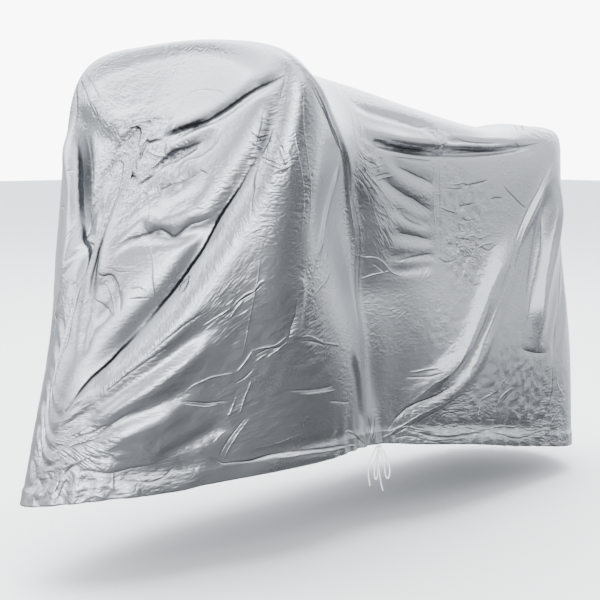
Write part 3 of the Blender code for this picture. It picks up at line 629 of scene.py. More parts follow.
# Sharp creases: name, width and rise in millimetres (a groove falls), painted shade in the bottom, path
CREASE_ROWS = (
    ("lip shadow", 5, -3, 1.1,
        ((2.56, 2.98), (2.04, 3.04), (1.59, 3.03), (1.31, 3.03), (1.08, 3.04), (0.82, 3.08),
        (0.48, 3.17))),
    ("lip deep", 8, -2, 1.25, ((1.15, 3.04), (1.02, 3.06), (0.89, 3.08), (0.67, 3.12), (0.41, 3.18))),
    ("lip end", 4, -2.5, 1, ((0, 3.36), (0.15, 3.17), (0.28, 3.15), (0.44, 3.09))),
    ("lip edge", 2.5, 1.5, 0,
        ((1.94, 3.05), (1.63, 3.04), (1.34, 3.04), (1.11, 3.05), (0.93, 3.09), (0.68, 3.14))),
    ("under lip line", 3.4, -4, 0.9,
        ((1.09, 2.8), (0.88, 2.83), (0.69, 2.84), (0.57, 2.83), (0.44, 2.79), (0.38, 2.75))),
    ("foil 1", 3.45, -3.4, 0.85, ((-0.58, 3.3), (-0.4, 3.34), (-0.24, 3.32), (-0.11, 3.24))),
    ("foil 2", 2.88, 3.06, 0, ((0.22, 3.26), (0.32, 3.34), (0.41, 3.47))),
    ("foil 3", 2.88, 2.72, 0, ((-0.7, 3.18), (-0.69, 3.26), (-0.73, 3.31))),
    ("foil 4", 3.45, -4.08, 0.85, ((0.42, 2.73), (0.34, 2.71), (0.26, 2.68))),
    ("foil 5", 3.45, -3.74, 0.85, ((0.22, 2.76), (0.15, 2.75), (0.06, 2.71))),
    ("foil 6", 2.88, 3.4, 0, ((-0.19, 3.08), (-0.28, 3.01), (-0.32, 2.92))),
    ("foil 7", 2.88, 3.06, 0, ((-0.15, 2.92), (-0.29, 2.88), (-0.46, 2.83))),
    ("foil 8", 2.88, -3.06, 0.42, ((-0.69, 2.91), (-0.5, 2.96), (-0.33, 3.01))),
    ("foil 9", 2.88, 3.74, 0, ((0.5, 3.02), (0.54, 2.88), (0.5, 2.8))),
    ("foil 10", 2.88, -3.4, 0.51, ((0.12, 3.18), (0.12, 3.03), (0.13, 2.9))),
    ("foil 11", 2.88, 3.4, 0, ((0.19, 3.05), (0.38, 2.9), (0.58, 2.81))),
    ("foil 12", 2.88, -3.06, 0.34, ((-0.4, 2.8), (-0.12, 2.79), (0.02, 2.81))),
    ("foil 13", 2.53, 2.72, 0, ((0.05, 2.9), (0.18, 2.8), (0.22, 2.74))),
    ("hood pleat 1", 3, -2.4, 0.55, ((-2.57, 3.01), (-2.29, 2.99), (-2.02, 2.95), (-1.8, 2.83))),
    ("hood pleat 2", 3, -2.4, 0.5,
        ((-2.55, 3.06), (-2.17, 3.09), (-1.77, 3.12), (-1.4, 3.09), (-1.16, 3.06))),
    ("hood pleat 3", 3.5, -2, 0.25, ((-2.44, 3.14), (-2.11, 3.18), (-1.73, 3.21), (-1.43, 3.21))),
    ("hood pleat 4", 2.2, 1.6, 0, ((-2.24, 3.09), (-1.69, 3.12), (-1.41, 3.05), (-1.24, 2.99))),
    ("hood pleat 5", 2.2, -1.6, 0.25, ((-1.58, 3.13), (-1.39, 3.12), (-1.24, 3.07), (-1.05, 3))),
    ("hood edge", 2.5, 1.6, 0, ((-0.98, 3.19), (-0.72, 3.34), (-0.63, 3.55), (-0.55, 3.86), (-0.63, 4.22))),
    ("hood line 1", 3.5, -1, 0.1, ((-2.24, 3.42), (-2.12, 3.49), (-1.95, 3.56), (-1.64, 3.69))),
    ("hood line 2", 3, -0.8, 0.06, ((-2.48, 3.27), (-2.37, 3.32), (-2.27, 3.38))),
    ("hood line 3", 3, 0.8, 0, ((-2.36, 3.53), (-2.33, 3.69), (-2.29, 3.84))),
    ("hood curve 1", 2.5, -1, 0.14,
        ((1.02, 3.61), (1.16, 3.57), (1.28, 3.49), (1.35, 3.4), (1.45, 3.28), (1.51, 3.1))),
    ("pleat mouth", 5.5, -3, 1.15,
        ((-1.69, 2.78), (-1.47, 2.7), (-1.24, 2.59), (-1.04, 2.47), (-0.8, 2.34), (-0.58, 2.25))),
    ("pleat inner", 14, -1.5, 0.9,
        ((-1.72, 2.86), (-1.5, 2.78), (-1.26, 2.66), (-1.06, 2.54), (-0.84, 2.42), (-0.62, 2.3))),
    ("pleat low 1", 4, -3, 1.3, ((-0.79, 2.33), (-0.53, 2.23), (-0.16, 2.08), (0.15, 1.78))),
    ("pleat low 2", 3.5, -3, 0.8, ((-0.7, 2.29), (-0.44, 2.21), (-0, 2.11), (0.05, 1.95), (0.18, 1.79))),
    ("pleat wall 1", 2, 1.5, 0, ((-1.01, 2.84), (-0.64, 2.63), (-0.46, 2.46))),
    ("pleat wall 2", 2, 1.5, 0, ((-0.83, 2.4), (-0.65, 2.53), (-0.69, 2.62))),
    ("pleat hook", 2.5, -2, 0.4, ((0.16, 1.8), (0.3, 1.74), (0.45, 1.65), (0.58, 1.55))),
    ("pleat edge", 2.2, 1.8, 0, ((-0.16, 2.09), (0, 1.98), (0.11, 1.85))),
    ("cheek thin 1", 1.8, 1.6, 0, ((-0.78, 2.3), (-0.75, 2.2), (-0.84, 2.09), (-1.35, 1.91))),
    ("cheek thin 2", 1.8, -1.2, 0.15, ((-0.73, 2.3), (-0.67, 2.22), (-0.7, 2.09))),
    ("cheek dark 1", 2, -1.6, 0.3, ((-0.11, 2.01), (-0.09, 1.92), (-0.25, 1.82))),
    ("cheek dark 2", 2, -1.6, 0.3, ((0.16, 1.76), (0.11, 1.69), (-0.16, 1.6))),
    ("strip 1", 3, -1.6, 0.2, ((-0.92, 1.93), (-0.74, 1.73), (-0.42, 1.53), (-0.3, 1.34))),
    ("strip 2", 2.2, 1.4, 0, ((-0.65, 1.66), (-0.63, 1.5), (-0.64, 1.33))),
    ("nose up 1", 3, -2, 0.35, ((-1.24, 2.46), (-0.98, 2.34), (-0.78, 2.23))),
    ("brow dark", 4, -4, 0.6,
        ((1.46, 2.16), (1.32, 2.16), (1.2, 2.16), (1.11, 2.13), (1.01, 2.12), (0.92, 2.16), (0.82, 2.2),
        (0.68, 2.2), (0.41, 2.21), (0.23, 2.21))),
    ("brow soft", 4.5, -1.8, 0.2, ((1.14, 2.55), (1, 2.54), (0.82, 2.54), (0.62, 2.53), (0.53, 2.49))),
    ("brow knot", 2.5, -2.2, 0.4, ((1.14, 2.57), (1.2, 2.54), (1.31, 2.49))),
    ("brow line 1", 2.2, 1.5, 0, ((1.36, 2.53), (1.48, 2.51), (1.57, 2.51))),
    ("brow line 2", 2.2, -1.5, 0.2, ((1.14, 2.26), (1.24, 2.27), (1.37, 2.24))),
    ("brow line 3", 2.2, 1.5, 0, ((0.34, 2.41), (0.34, 2.46), (0.38, 2.49), (0.46, 2.51))),
    ("soft shade", 5, -1.6, 0.2, ((1.36, 2.79), (1.32, 2.73), (1.21, 2.69), (1.06, 2.68), (0.88, 2.7))),
    ("small 1", 2, -1.5, 0.25, ((0.26, 2.03), (0.38, 1.98), (0.5, 1.92), (0.63, 1.9), (0.77, 1.88))),
    ("small 2", 2, 1.3, 0, ((0.37, 2), (0.54, 1.95), (0.68, 1.94))),
    ("small 3", 2, -1.4, 0.3, ((0.7, 1.67), (0.8, 1.66), (0.92, 1.64))),
    ("small 4", 2, 1.2, 0, ((0.69, 1.75), (0.78, 1.75), (0.87, 1.71))),
    ("chin dark", 5, -3.4, 0.4,
        ((0.06, 2), (0.28, 1.95), (0.4, 1.92), (0.51, 1.83), (0.6, 1.7), (0.64, 1.57))),
    ("chin light", 3, 1.8, 0, ((0.38, 1.85), (0.51, 1.7), (0.58, 1.58))),
    ("front pack 1", 1.8, 1.1, 0, ((0.34, 2.68), (0.48, 2.52), (0.59, 2.37), (0.68, 2.23))),
    ("front pack 2", 1.8, 1.1, 0, ((0.74, 2.13), (0.86, 1.95), (0.92, 1.78), (0.98, 1.62))),
    ("groove top", 3.5, -2.4, 0.6, ((2.52, 2.97), (2.44, 2.92), (2.37, 2.88), (2.29, 2.8))),
    ("groove upper", 11, -2.4, 0.72, ((2.15, 2.76), (2.07, 2.69), (2.03, 2.6), (2, 2.51), (1.94, 2.45))),
    ("groove main", 4.5, -3, 1.3,
        ((1.96, 2.48), (1.87, 2.4), (1.8, 2.32), (1.7, 2.24), (1.59, 2.14), (1.46, 1.94), (1.34, 1.82),
        (1.23, 1.7), (1.09, 1.58), (0.96, 1.47), (0.86, 1.38))),
    ("groove low", 4, -3, 1.1,
        ((0.91, 1.42), (0.74, 1.28), (0.62, 1.16), (0.49, 1.05), (0.38, 0.92), (0.29, 0.81))),
    ("groove thin", 2.2, -2.2, 0.6, ((2.05, 2.39), (2.05, 2.31), (2.08, 2.24), (2.08, 2.16), (2.09, 2.07))),
    ("groove side", 2.2, 1.8, 0, ((2.02, 2.79), (1.96, 2.68), (1.92, 2.58))),
    ("groove knot", 2.5, 2.2, 0, ((1.28, 1.64), (1.3, 1.69), (1.35, 1.71), (1.4, 1.74))),
    ("groove knot 2", 2.5, -2.2, 0.5, ((1.31, 1.61), (1.36, 1.64), (1.37, 1.69), (1.35, 1.75))),
    ("lower sweep 1", 6, -2, 0.38, ((1.7, 1.41), (1.53, 1.37), (1.34, 1.29), (1.18, 1.22), (1.02, 1.13))),
    ("lower sweep 2", 7, -2.2, 0.36, ((1.49, 1.26), (1.28, 1.18), (1.08, 1.1), (0.87, 1.01), (0.69, 0.91))),
    ("lower sweep 3", 5, -2, 0.32, ((1.24, 0.74), (1.06, 0.71), (0.89, 0.65), (0.73, 0.58), (0.58, 0.51))),
    ("nose line 1", 2.6, 2.2, 0, ((0.4, 0.39), (0.46, 0.35), (0.53, 0.34), (0.6, 0.36), (0.68, 0.39))),
    ("nose line 2", 2.6, -2.4, 0.5, ((0.44, 0.48), (0.55, 0.5), (0.65, 0.52), (0.75, 0.54))),
    ("nose line 3", 2.2, -2, 0.5, ((0.44, 0.26), (0.49, 0.3), (0.54, 0.33))),
    ("nose line 4", 2.2, 2, 0, ((0.41, 0.31), (0.48, 0.33), (0.54, 0.35))),
    ("nose line 5", 2.2, 1.8, 0, ((0.4, 0.58), (0.51, 0.6), (0.6, 0.64))),
    ("nose line 6", 2.4, -2.2, 0.4, ((0.41, 0.54), (0.54, 0.57), (0.67, 0.6), (0.8, 0.64))),
    ("nose foot 1", 2.4, 2.2, 0, ((0.42, 0.07), (0.44, 0.12), (0.45, 0.19), (0.5, 0.23))),
    ("nose foot 2", 2.4, -2, 0.4, ((0.36, 0.11), (0.4, 0.14), (0.41, 0.21))),
    ("nose foot 3", 2.2, 2, 0, ((0.06, 0.19), (0.11, 0.23), (0.11, 0.15))),
    ("hem pack", 2.2, 1.8, 0, ((0.97, 0.24), (0.98, 0.19), (1.02, 0.08))),
    ("hem rim 1", 2.5, 2, 0, ((0.59, 0), (0.7, 0.01), (0.82, 0.05), (0.97, 0.01))),
    ("hem wave 1", 4, -2.2, 0.3,
        ((0.55, 0.29), (0.74, 0.26), (0.96, 0.22), (1.15, 0.23), (1.37, 0.23), (1.58, 0.26))),
    ("hem wave 2", 3, -2, 0.3, ((1.06, 0.15), (1.24, 0.13), (1.42, 0.1), (1.57, 0.13), (1.67, 0.19))),
    ("star 1", 2.4, -2.2, 0.3, ((2.2, 2.63), (2.17, 2.58), (2.11, 2.52), (2.04, 2.47))),
    ("star 2", 2, 1.8, 0, ((2.25, 2.61), (2.39, 2.52), (2.51, 2.43))),
    ("star 3", 2, 1.8, 0, ((2.35, 2.51), (2.43, 2.44), (2.51, 2.36))),
    ("star 4", 2.2, -1.8, 0.3, ((2.07, 2.46), (2.24, 2.41), (2.47, 2.35))),
    ("star 5", 2, 1.6, 0, ((2.17, 2.41), (2.36, 2.36), (2.52, 2.32))),
    ("star 6", 2, 1.6, 0, ((2.65, 2.37), (2.56, 2.34), (2.39, 2.32), (2.32, 2.3))),
    ("star 7", 2.2, -1.8, 0.3, ((1.81, 2.49), (1.91, 2.48), (2.04, 2.46))),
    ("star 8", 2.2, 1.6, 0, ((1.83, 2.46), (1.95, 2.43), (2.08, 2.42))),
    ("right knot 1", 2, 1.8, 0, ((1.83, 2.68), (1.94, 2.63), (2.03, 2.58))),
    ("right knot 2", 2, 1.6, 0, ((1.82, 2.62), (1.95, 2.56), (2.04, 2.53))),
    ("bar edge", 3, 2.6, 0,
        ((2.95, 2.98), (3.05, 2.91), (3.18, 2.84), (3.39, 2.77), (3.59, 2.74), (3.77, 2.68))),
    ("bar edge dark", 3, -2.2, 0.35,
        ((2.91, 2.96), (2.98, 2.89), (3.1, 2.81), (3.32, 2.75), (3.52, 2.71), (3.73, 2.68))),
    ("near tie line", 2.8, 2.6, 0,
        ((3.82, 2.66), (3.9, 2.54), (3.96, 2.41), (4.06, 2.2), (4.13, 1.95), (4.1, 1.7), (4.03, 1.42),
        (3.96, 1.13))),
    ("near tie dark", 3.5, -1.8, 0.25,
        ((3.89, 2.63), (4.01, 2.43), (4.25, 2.24), (4.34, 2), (4.33, 1.71), (4.26, 1.39))),
    ("side bright", 2.2, 2.2, 0, ((3.66, 2.46), (3.58, 2.22), (3.45, 2.01), (3.17, 1.68), (3.07, 1.52))),
    ("side pack 1", 1.8, 0.9, 0, ((2.83, 2.87), (2.8, 2.63), (2.87, 2.37), (2.97, 2.03), (2.9, 1.73))),
    ("side pack 2", 1.6, 0.8, 0, ((2.64, 2.57), (2.73, 2.37), (2.83, 2.1), (2.82, 1.81))),
    ("chain 1", 2.4, 2.6, 0,
        ((2.37, 1.56), (2.29, 1.54), (2.24, 1.49), (2.15, 1.48), (2.07, 1.45), (2, 1.42))),
    ("chain 2", 2.4, 2.4, 0, ((2, 1.42), (1.91, 1.37), (1.78, 1.33), (1.65, 1.29))),
    ("chain 3", 2.4, 2.2, 0, ((2.11, 1.43), (2.03, 1.37), (1.98, 1.31))),
    ("chain 4", 2.6, 2.8, 0,
        ((2.73, 1.08), (2.63, 1.03), (2.55, 1.02), (2.47, 1.02), (2.39, 1.02), (2.33, 1.01))),
    ("chain 5", 2.6, 2.8, 0, ((2.33, 1.01), (2.28, 0.96), (2.23, 0.91), (2.16, 0.87))),
    ("chain 6", 2.6, 2.6, 0,
        ((2.15, 0.87), (2.02, 0.87), (1.87, 0.87), (1.75, 0.85), (1.69, 0.84), (1.64, 0.81),
        (1.61, 0.79))),
    ("chain 7", 2.4, -2.2, 0.4, ((2.37, 0.87), (2.32, 0.84), (2.27, 0.81), (2.17, 0.78))),
    ("chain 8", 2.2, 2, 0, ((2.51, 0.97), (2.44, 0.95), (2.37, 0.92))),
    ("chain 9", 2.2, 2, 0, ((2.75, 1.04), (2.65, 0.99), (2.57, 0.96), (2.49, 0.93))),
    ("chain dark 1", 3, -2.4, 0.38, ((2.75, 1.04), (2.64, 1), (2.49, 1), (2.35, 0.97))),
    ("chain dark 2", 2.6, -2, 0.35, ((2.35, 1.53), (2.24, 1.48), (2.13, 1.45), (2.04, 1.42))),
    ("loop 1", 2.2, 2.4, 0, ((2.91, 1.05), (2.99, 1.06), (3.07, 1.05), (3.17, 1.02), (3.24, 1))),
    ("loop 2", 2.2, -2, 0.4, ((2.91, 1.02), (3, 1.02), (3.1, 1.01), (3.24, 0.98))),
    ("loop 3", 2, 1.6, 0, ((3.24, 1), (3.35, 0.99), (3.47, 0.98))),
    ("level 1", 2.6, -2.8, 0.6, ((1.58, 0.72), (1.71, 0.7), (1.86, 0.67), (2, 0.66), (2.13, 0.65))),
    ("level 1 bright", 2.4, 2.2, 0, ((1.6, 0.7), (1.73, 0.67), (1.88, 0.64), (2.03, 0.64))),
    ("level 2", 2.6, -2.8, 0.6, ((2.81, 0.64), (2.93, 0.63), (3.06, 0.62), (3.23, 0.62), (3.37, 0.63))),
    ("level 2 bright", 2.4, 2.2, 0, ((2.92, 0.6), (3.07, 0.59), (3.23, 0.59), (3.39, 0.59))),
    ("level 3", 2.2, -2, 0.4, ((3.33, 0.5), (3.43, 0.49), (3.55, 0.47), (3.64, 0.47))),
    ("pack fold 1", 5, 2, 0, ((2.87, 1.37), (2.86, 1.27), (2.85, 1.16), (2.83, 1.05))),
    ("pack fold 2", 3, -2, 0.3, ((2.81, 1.36), (2.8, 1.24), (2.77, 1.14), (2.75, 1.02))),
    ("pack spot", 5, 3, 0, ((2.87, 1.52), (2.88, 1.49), (2.88, 1.44))),
    ("bright dash", 2.2, 2.4, 0, ((3.47, 1.62), (3.34, 1.51), (3.18, 1.43), (3.07, 1.36))),
    ("thin pack", 1.8, 1.3, 0,
        ((2.27, 1.73), (2.27, 1.6), (2.25, 1.45), (2.24, 1.3), (2.23, 1.14), (2.21, 0.98))),
    ("foot 1", 2.4, 2.4, 0, ((2.35, 0.77), (2.32, 0.69), (2.29, 0.6), (2.27, 0.53))),
    ("foot 2", 2.4, -2, 0.35, ((2.31, 0.81), (2.35, 0.78), (2.4, 0.74))),
    ("foot 3", 2.4, 2.2, 0, ((2.2, 0.66), (2.17, 0.57), (2.13, 0.5))),
    ("foot 4", 3, 2, 0, ((2.39, 0.48), (2.32, 0.41), (2.24, 0.32), (2.16, 0.19))),
    ("foot 5", 3, -2, 0.3, ((2.35, 0.49), (2.27, 0.42), (2.19, 0.34), (2.11, 0.22))),
    ("foot 6", 2.4, 2.6, 0, ((2.13, 0.4), (2.09, 0.38), (2.05, 0.35))),
    ("foot 7", 2.2, 2, 0, ((2.49, 0.22), (2.63, 0.22), (2.76, 0.23), (2.88, 0.25), (3.01, 0.27))),
    ("casing dark", 2.8, -3, 0.65,
        ((2, 0.22), (2.08, 0.19), (2.16, 0.15), (2.31, 0.14), (2.45, 0.13), (2.68, 0.14), (2.85, 0.13))),
    ("casing dark 2", 2.4, -2.4, 0.5, ((2.85, 0.13),
          (3.05, 0.12), (3.28, 0.1), (3.53, 0.08), (3.74, 0.06))),
    ("casing bright", 3.5, 2.2, 0,
        ((2.72, 0.11), (2.87, 0.1), (3.1, 0.09), (3.34, 0.07), (3.59, 0.06), (3.76, 0.05))),
    ("tie fold 1", 2.6, -3, 0.6, ((3.63, 0.17), (3.7, 0.15), (3.74, 0.13), (3.85, 0.06), (3.9, 0))),
    ("tie fold 2", 2.4, 2.4, 0, ((3.55, 0.19), (3.62, 0.19), (3.69, 0.17))),
    ("tie up 1", 2.2, -2, 0.4, ((4.04, 0.27), (4.04, 0.15), (4.02, 0.05))),
    ("tie up 2", 2.2, 1.8, 0, ((4.11, 0.29), (4.08, 0.15), (4.05, 0.05))),
    ("tie up 3", 2.2, -1.8, 0.3, ((4.16, 0.27), (4.12, 0.15), (4.06, 0.04))),
    ("bundle 1", 2.2, 2, 0, ((4.14, 2.68), (4.26, 2.62), (4.4, 2.53), (4.54, 2.43))),
    ("bundle 2", 2.2, -1.8, 0.3, ((3.95, 2.6), (4.24, 2.55), (4.36, 2.46), (4.45, 2.33))),
    ("bundle 3", 2, 1.8, 0, ((4.25, 2.67), (4.39, 2.59), (4.57, 2.49), (4.75, 2.36))),
    ("bundle 4", 2, -1.6, 0.3, ((4.23, 2.57), (4.36, 2.47), (4.48, 2.36))),
    ("bundle 5", 2.2, 2.2, 0, ((4.51, 2.24), (4.56, 2.16), (4.61, 2.07))),
    ("bundle 6", 2.2, 2.4, 0, ((4.65, 2.14), (4.72, 2.07), (4.8, 1.98))),
    ("bundle 7", 2.2, -2, 0.35, ((4.61, 2.12), (4.69, 2.05), (4.76, 1.95))),
    ("cross 1", 2, 1.6, 0, ((4.38, 2.68), (4.51, 2.71), (4.65, 2.74))),
    ("cross 2", 2, -1.6, 0.3, ((4.44, 2.6), (4.6, 2.63), (4.72, 2.65))),
    ("cross 3", 2, 1.6, 0, ((4.49, 2.57), (4.67, 2.61), (4.8, 2.63))),
    ("cross 5", 2.4, -2.2, 0.4, ((4.26, 2.76), (4.37, 2.74), (4.48, 2.72))),
    ("thin curve", 2.2, 2.2, 0,
        ((4.31, 1.87), (4.45, 1.86), (4.55, 1.85), (4.66, 1.8), (4.77, 1.72), (4.92, 1.68))),
    ("thin curve 2", 2, 1.8, 0, ((4.34, 1.66), (4.46, 1.69), (4.59, 1.71), (4.77, 1.73))),
    ("thin curve 3", 2, -1.6, 0.25, ((4.48, 1.81), (4.59, 1.76), (4.72, 1.69))),
    ("sag line 1", 4.5, -2.2, 0.3, ((4.87, 2.72), (5.04, 2.69), (5.21, 2.65), (5.36, 2.62), (5.51, 2.57))),
    ("sag line 2", 5, -2.4, 0.34, ((4.69, 2.57), (4.86, 2.5), (5.03, 2.45), (5.2, 2.41), (5.5, 2.31))),
    ("sag line 3", 4.5, -2.2, 0.3, ((4.91, 2.28), (5.1, 2.21), (5.35, 2.17))),
    ("sag line 4", 4.5, -2.2, 0.3, ((4.9, 2.09), (5.19, 2.07), (5.45, 2.04))),
    ("sag line 5", 4, -2.4, 0.34, ((4.85, 1.82), (5.14, 1.87), (5.47, 1.9))),
    ("sag line 6", 3.5, -1.6, 0.2, ((4.99, 2.81), (5.18, 2.81), (5.36, 2.81), (5.55, 2.82))),
    ("band edge 1", 1.8, 1, 0, ((5.59, 2.99), (5.52, 2.67), (5.51, 2.42), (5.54, 2.14), (5.49, 1.82))),
    ("band edge 2", 1.8, -0.9, 0.08, ((5.7, 2.99), (5.62, 2.67), (5.62, 2.42), (5.62, 2.14), (5.59, 1.82))),
    ("slit main", 5, -4, 1,
        ((4.48, 2.99), (4.61, 3), (4.75, 2.99), (4.91, 2.99), (5.1, 2.98), (5.29, 2.98), (5.64, 2.98))),
    ("slit deep", 8.5, -2, 1.1, ((4.79, 2.99), (4.96, 2.98), (5.16, 2.98), (5.38, 2.98), (5.6, 2.98))),
    ("slit right", 5, -3.6, 0.9, ((5.93, 3.02), (6.16, 3.03), (6.41, 3.03), (6.72, 3.05), (7.05, 3.08))),
    ("slit upper", 2.4, -2.4, 0.6,
        ((5.95, 3.14), (6.09, 3.17), (6.2, 3.16), (6.33, 3.15), (6.56, 3.15), (6.84, 3.16))),
    ("slit end", 2.8, -2.4, 0.5, ((7.01, 3.08), (7.28, 3.1), (7.48, 3.12), (7.71, 3.14))),
    ("slit cross", 2.2, -2, 0.6, ((7.2, 3.16), (7.25, 3.11), (7.29, 3.08))),
    ("slit lip", 2.2, 1.8, 0, ((4.49, 3.03), (4.72, 3.03), (5.01, 3.02), (5.33, 3.02))),
    ("slit knot 1", 2.2, 2.2, 0, ((5.67, 2.96), (5.71, 3.02), (5.83, 3.09))),
    ("slit knot 2", 2.2, -2, 0.6, ((5.6, 3), (5.71, 3.04), (5.89, 3.11))),
    ("slit knot 3", 2.2, -2, 0.5, ((5.6, 2.95), (5.79, 2.96), (5.85, 2.89))),
    ("below slit", 2.4, -1.4, 0.25, ((4.79, 2.82), (4.99, 2.82), (5.25, 2.82), (5.47, 2.81))),
    ("seat pack 1", 1.8, 1.2, 0, ((5.91, 3.33), (5.82, 3.21), (5.71, 3.11))),
    ("seat pack 2", 1.8, 1, 0, ((5.86, 3.35), (5.77, 3.23), (5.66, 3.14))),
    ("seat soft", 4, -1.6, 0.2, ((5.2, 3.34), (5.4, 3.33), (5.57, 3.29), (5.86, 3.35))),
    ("seat mark 1", 2, 1.2, 0, ((4.42, 3.24), (4.36, 3.11), (4.24, 2.95))),
    ("seat mark 2", 2, 1.2, 0, ((4.36, 3.29), (4.26, 3.15), (4.17, 2.98), (4.17, 2.86))),
    ("tail bump 1", 2.6, -2.4, 0.5, ((7.92, 3.96), (7.58, 3.6), (7.42, 3.35))),
    ("tail bump 2", 2.6, -2.4, 0.55, ((7.97, 3.88), (7.69, 3.58), (7.54, 3.38))),
    ("tail bump 3", 2.2, 2, 0, ((7.86, 3.85), (7.58, 3.53), (7.45, 3.32))),
    ("dark mark 1", 2.6, -2.2, 0.5, ((6.05, 2.57), (6.18, 2.58), (6.32, 2.6), (6.51, 2.63))),
    ("dark mark 2", 2.2, 1.8, 0, ((5.82, 2.58), (5.95, 2.58), (6.07, 2.6), (6.21, 2.56))),
    ("dark mark 3", 2.2, -1.6, 0.3, ((5.74, 2.54), (5.9, 2.53), (6.05, 2.54))),
    ("shoulder mark", 2.6, -2, 0.4, ((6.76, 2.58), (6.85, 2.52), (6.95, 2.47), (7.05, 2.42), (7.17, 2.37))),
    ("dark blob 1", 5, -2.2, 0.35, ((5.96, 2.36), (6.1, 2.38), (6.24, 2.4))),
    ("dark blob 2", 4, -2, 0.35, ((6.51, 2.44), (6.61, 2.46), (6.74, 2.46))),
    ("crumple 1", 2.2, 1.8, 0, ((5.62, 2.36), (5.78, 2.33), (5.95, 2.31))),
    ("crumple 2", 2.2, -1.6, 0.3, ((6.03, 2.25), (6.14, 2.24), (6.27, 2.26))),
    ("crumple 3", 2.2, 1.8, 0, ((6.06, 2.06), (6.19, 2.1), (6.32, 2.08), (6.46, 2.12))),
    ("crumple 4", 2.2, -2, 0.4, ((5.91, 2.06), (6.06, 2.06), (6.19, 2.05))),
    ("crumple 5", 2.2, 2, 0, ((6.08, 2), (6.21, 1.97), (6.39, 2.02), (6.54, 2.04))),
    ("crumple 6", 2.2, -2, 0.4, ((6.17, 1.95), (6.31, 1.99), (6.44, 1.96), (6.58, 2.02))),
    ("crumple 8", 2.2, -1.8, 0.35, ((5.98, 1.87), (6.13, 1.89), (6.26, 1.86))),
    ("crumple 10", 2.2, -1.8, 0.35, ((5.54, 1.86), (5.7, 1.82), (5.88, 1.85))),
    ("tail crest", 4, 3, 0,
        ((7.87, 2.91), (7.69, 2.77), (7.5, 2.58), (7.25, 2.35), (6.98, 2.07), (6.81, 1.77), (6.59, 1.55),
        (6.45, 1.4))),
    ("tail crest low", 4, 3, 0,
        ((6.49, 1.46), (6.32, 1.26), (6.16, 1.05), (6.03, 0.87), (5.86, 0.7), (5.82, 0.54))),
    ("tail crest side", 2.4, -2.4, 0.4,
        ((7.64, 2.77), (7.44, 2.59), (7.2, 2.38), (6.93, 2.11), (6.69, 1.81), (6.5, 1.56))),
    ("tail thin", 2.2, 2.4, 0, ((7.06, 2.21), (6.97, 2.12), (6.84, 2), (6.72, 1.86))),
    ("tail groove", 3.2, -3, 0.55, ((6.28, 1.45), (6.14, 1.24), (5.98, 1.07), (5.84, 0.88), (5.78, 0.72))),
    ("band low bright", 4, 3.2, 0,
        ((5.77, 0.54), (5.46, 0.43), (5.07, 0.32), (4.72, 0.19), (4.37, 0.08), (4.22, 0.04))),
    ("band low dark", 3.6, -3.4, 0.6,
        ((5.7, 0.64), (5.49, 0.57), (5.23, 0.48), (4.84, 0.38), (4.57, 0.25), (4.38, 0.13))),
    ("band under", 3, -2.4, 0.4, ((5.83, 0.51), (5.54, 0.41), (5.19, 0.29), (4.81, 0.17), (4.45, 0.07))),
    ("wide crest", 6, 2.6, 0,
        ((6.58, 1.84), (6.34, 1.59), (6.06, 1.26), (5.77, 0.96), (5.5, 0.74), (5.16, 0.59), (4.85, 0.4))),
    ("tail band", 6, 3, 0,
        ((7.75, 2.42), (7.62, 2.19), (7.47, 1.94), (7.32, 1.69), (7.19, 1.43), (7.07, 1.18))),
    ("tail band low", 5, 2.4, 0, ((7.09, 0.86), (7.04, 0.67), (7, 0.47), (6.99, 0.21))),
    ("band dark", 5, -2.6, 0.35,
        ((7.54, 2.42), (7.49, 2.24), (7.42, 2.04), (7.25, 1.74), (7.05, 1.43), (6.88, 1.18))),
    ("tail foot line", 2.6, -2.6, 0.5, ((6.84, 0.98), (6.99, 0.96), (7.14, 0.95), (7.3, 0.96))),
    ("tail edge dark", 4.5, -2.2, 0.35, ((7.8, 2.32), (7.9, 2), (7.7, 1.59), (7.58, 1.19), (7.4, 0.88))),
    ("tail pack", 2.2, 2.2, 0, ((6.85, 0.78), (6.88, 0.63), (6.91, 0.47), (6.96, 0.31))),
    ("rumple 1", 2.6, 2.8, 0,
        ((6.58, 0.7), (6.52, 0.65), (6.47, 0.61), (6.43, 0.56), (6.39, 0.54), (6.27, 0.49), (6.15, 0.45))),
    ("rumple 2", 2.6, 2.6, 0, ((6.71, 0.59), (6.6, 0.56), (6.5, 0.49), (6.45, 0.41), (6.42, 0.32))),
    ("rumple 3", 2.4, 2.4, 0, ((6.15, 0.44), (6.13, 0.34), (6.12, 0.25))),
    ("rumple 4", 2.2, -2.2, 0.4, ((6.27, 0.26), (6.34, 0.26), (6.46, 0.26))),
    ("rumple 5", 2.2, -2, 0.3, ((6.53, 0.66), (6.44, 0.57), (6.3, 0.5))),
    ("rumple 6", 2.2, -2, 0.35, ((6.67, 0.55), (6.55, 0.46), (6.49, 0.36))),
    ("hook 1", 2.2, 2, 0, ((4.85, 0.72), (4.99, 0.73), (5.15, 0.75), (5.3, 0.76))),
    ("hook 2", 2.2, -1.8, 0.3, ((4.79, 0.66), (4.98, 0.67), (5.16, 0.68), (5.35, 0.72))),
    ("right thin 2", 2.2, 1.8, 0, ((7.48, 0.78), (7.52, 0.63), (7.65, 0.52))),
    ("right thin 3", 2.2, 1.8, 0, ((7.32, 0.12), (7.41, 0.23), (7.5, 0.32), (7.63, 0.4))),
    ("right dark", 5, -2.2, 0.4, ((7.2, 0.14), (7.27, 0.29), (7.38, 0.48), (7.41, 0.63), (7.4, 0.79))),
    ("hem dark 1", 3, -3, 0.6,
        ((4.76, 0.14), (5.01, 0.11), (5.25, 0.08), (5.55, 0.07), (5.82, 0.09), (6.09, 0.11),
        (6.31, 0.14))),
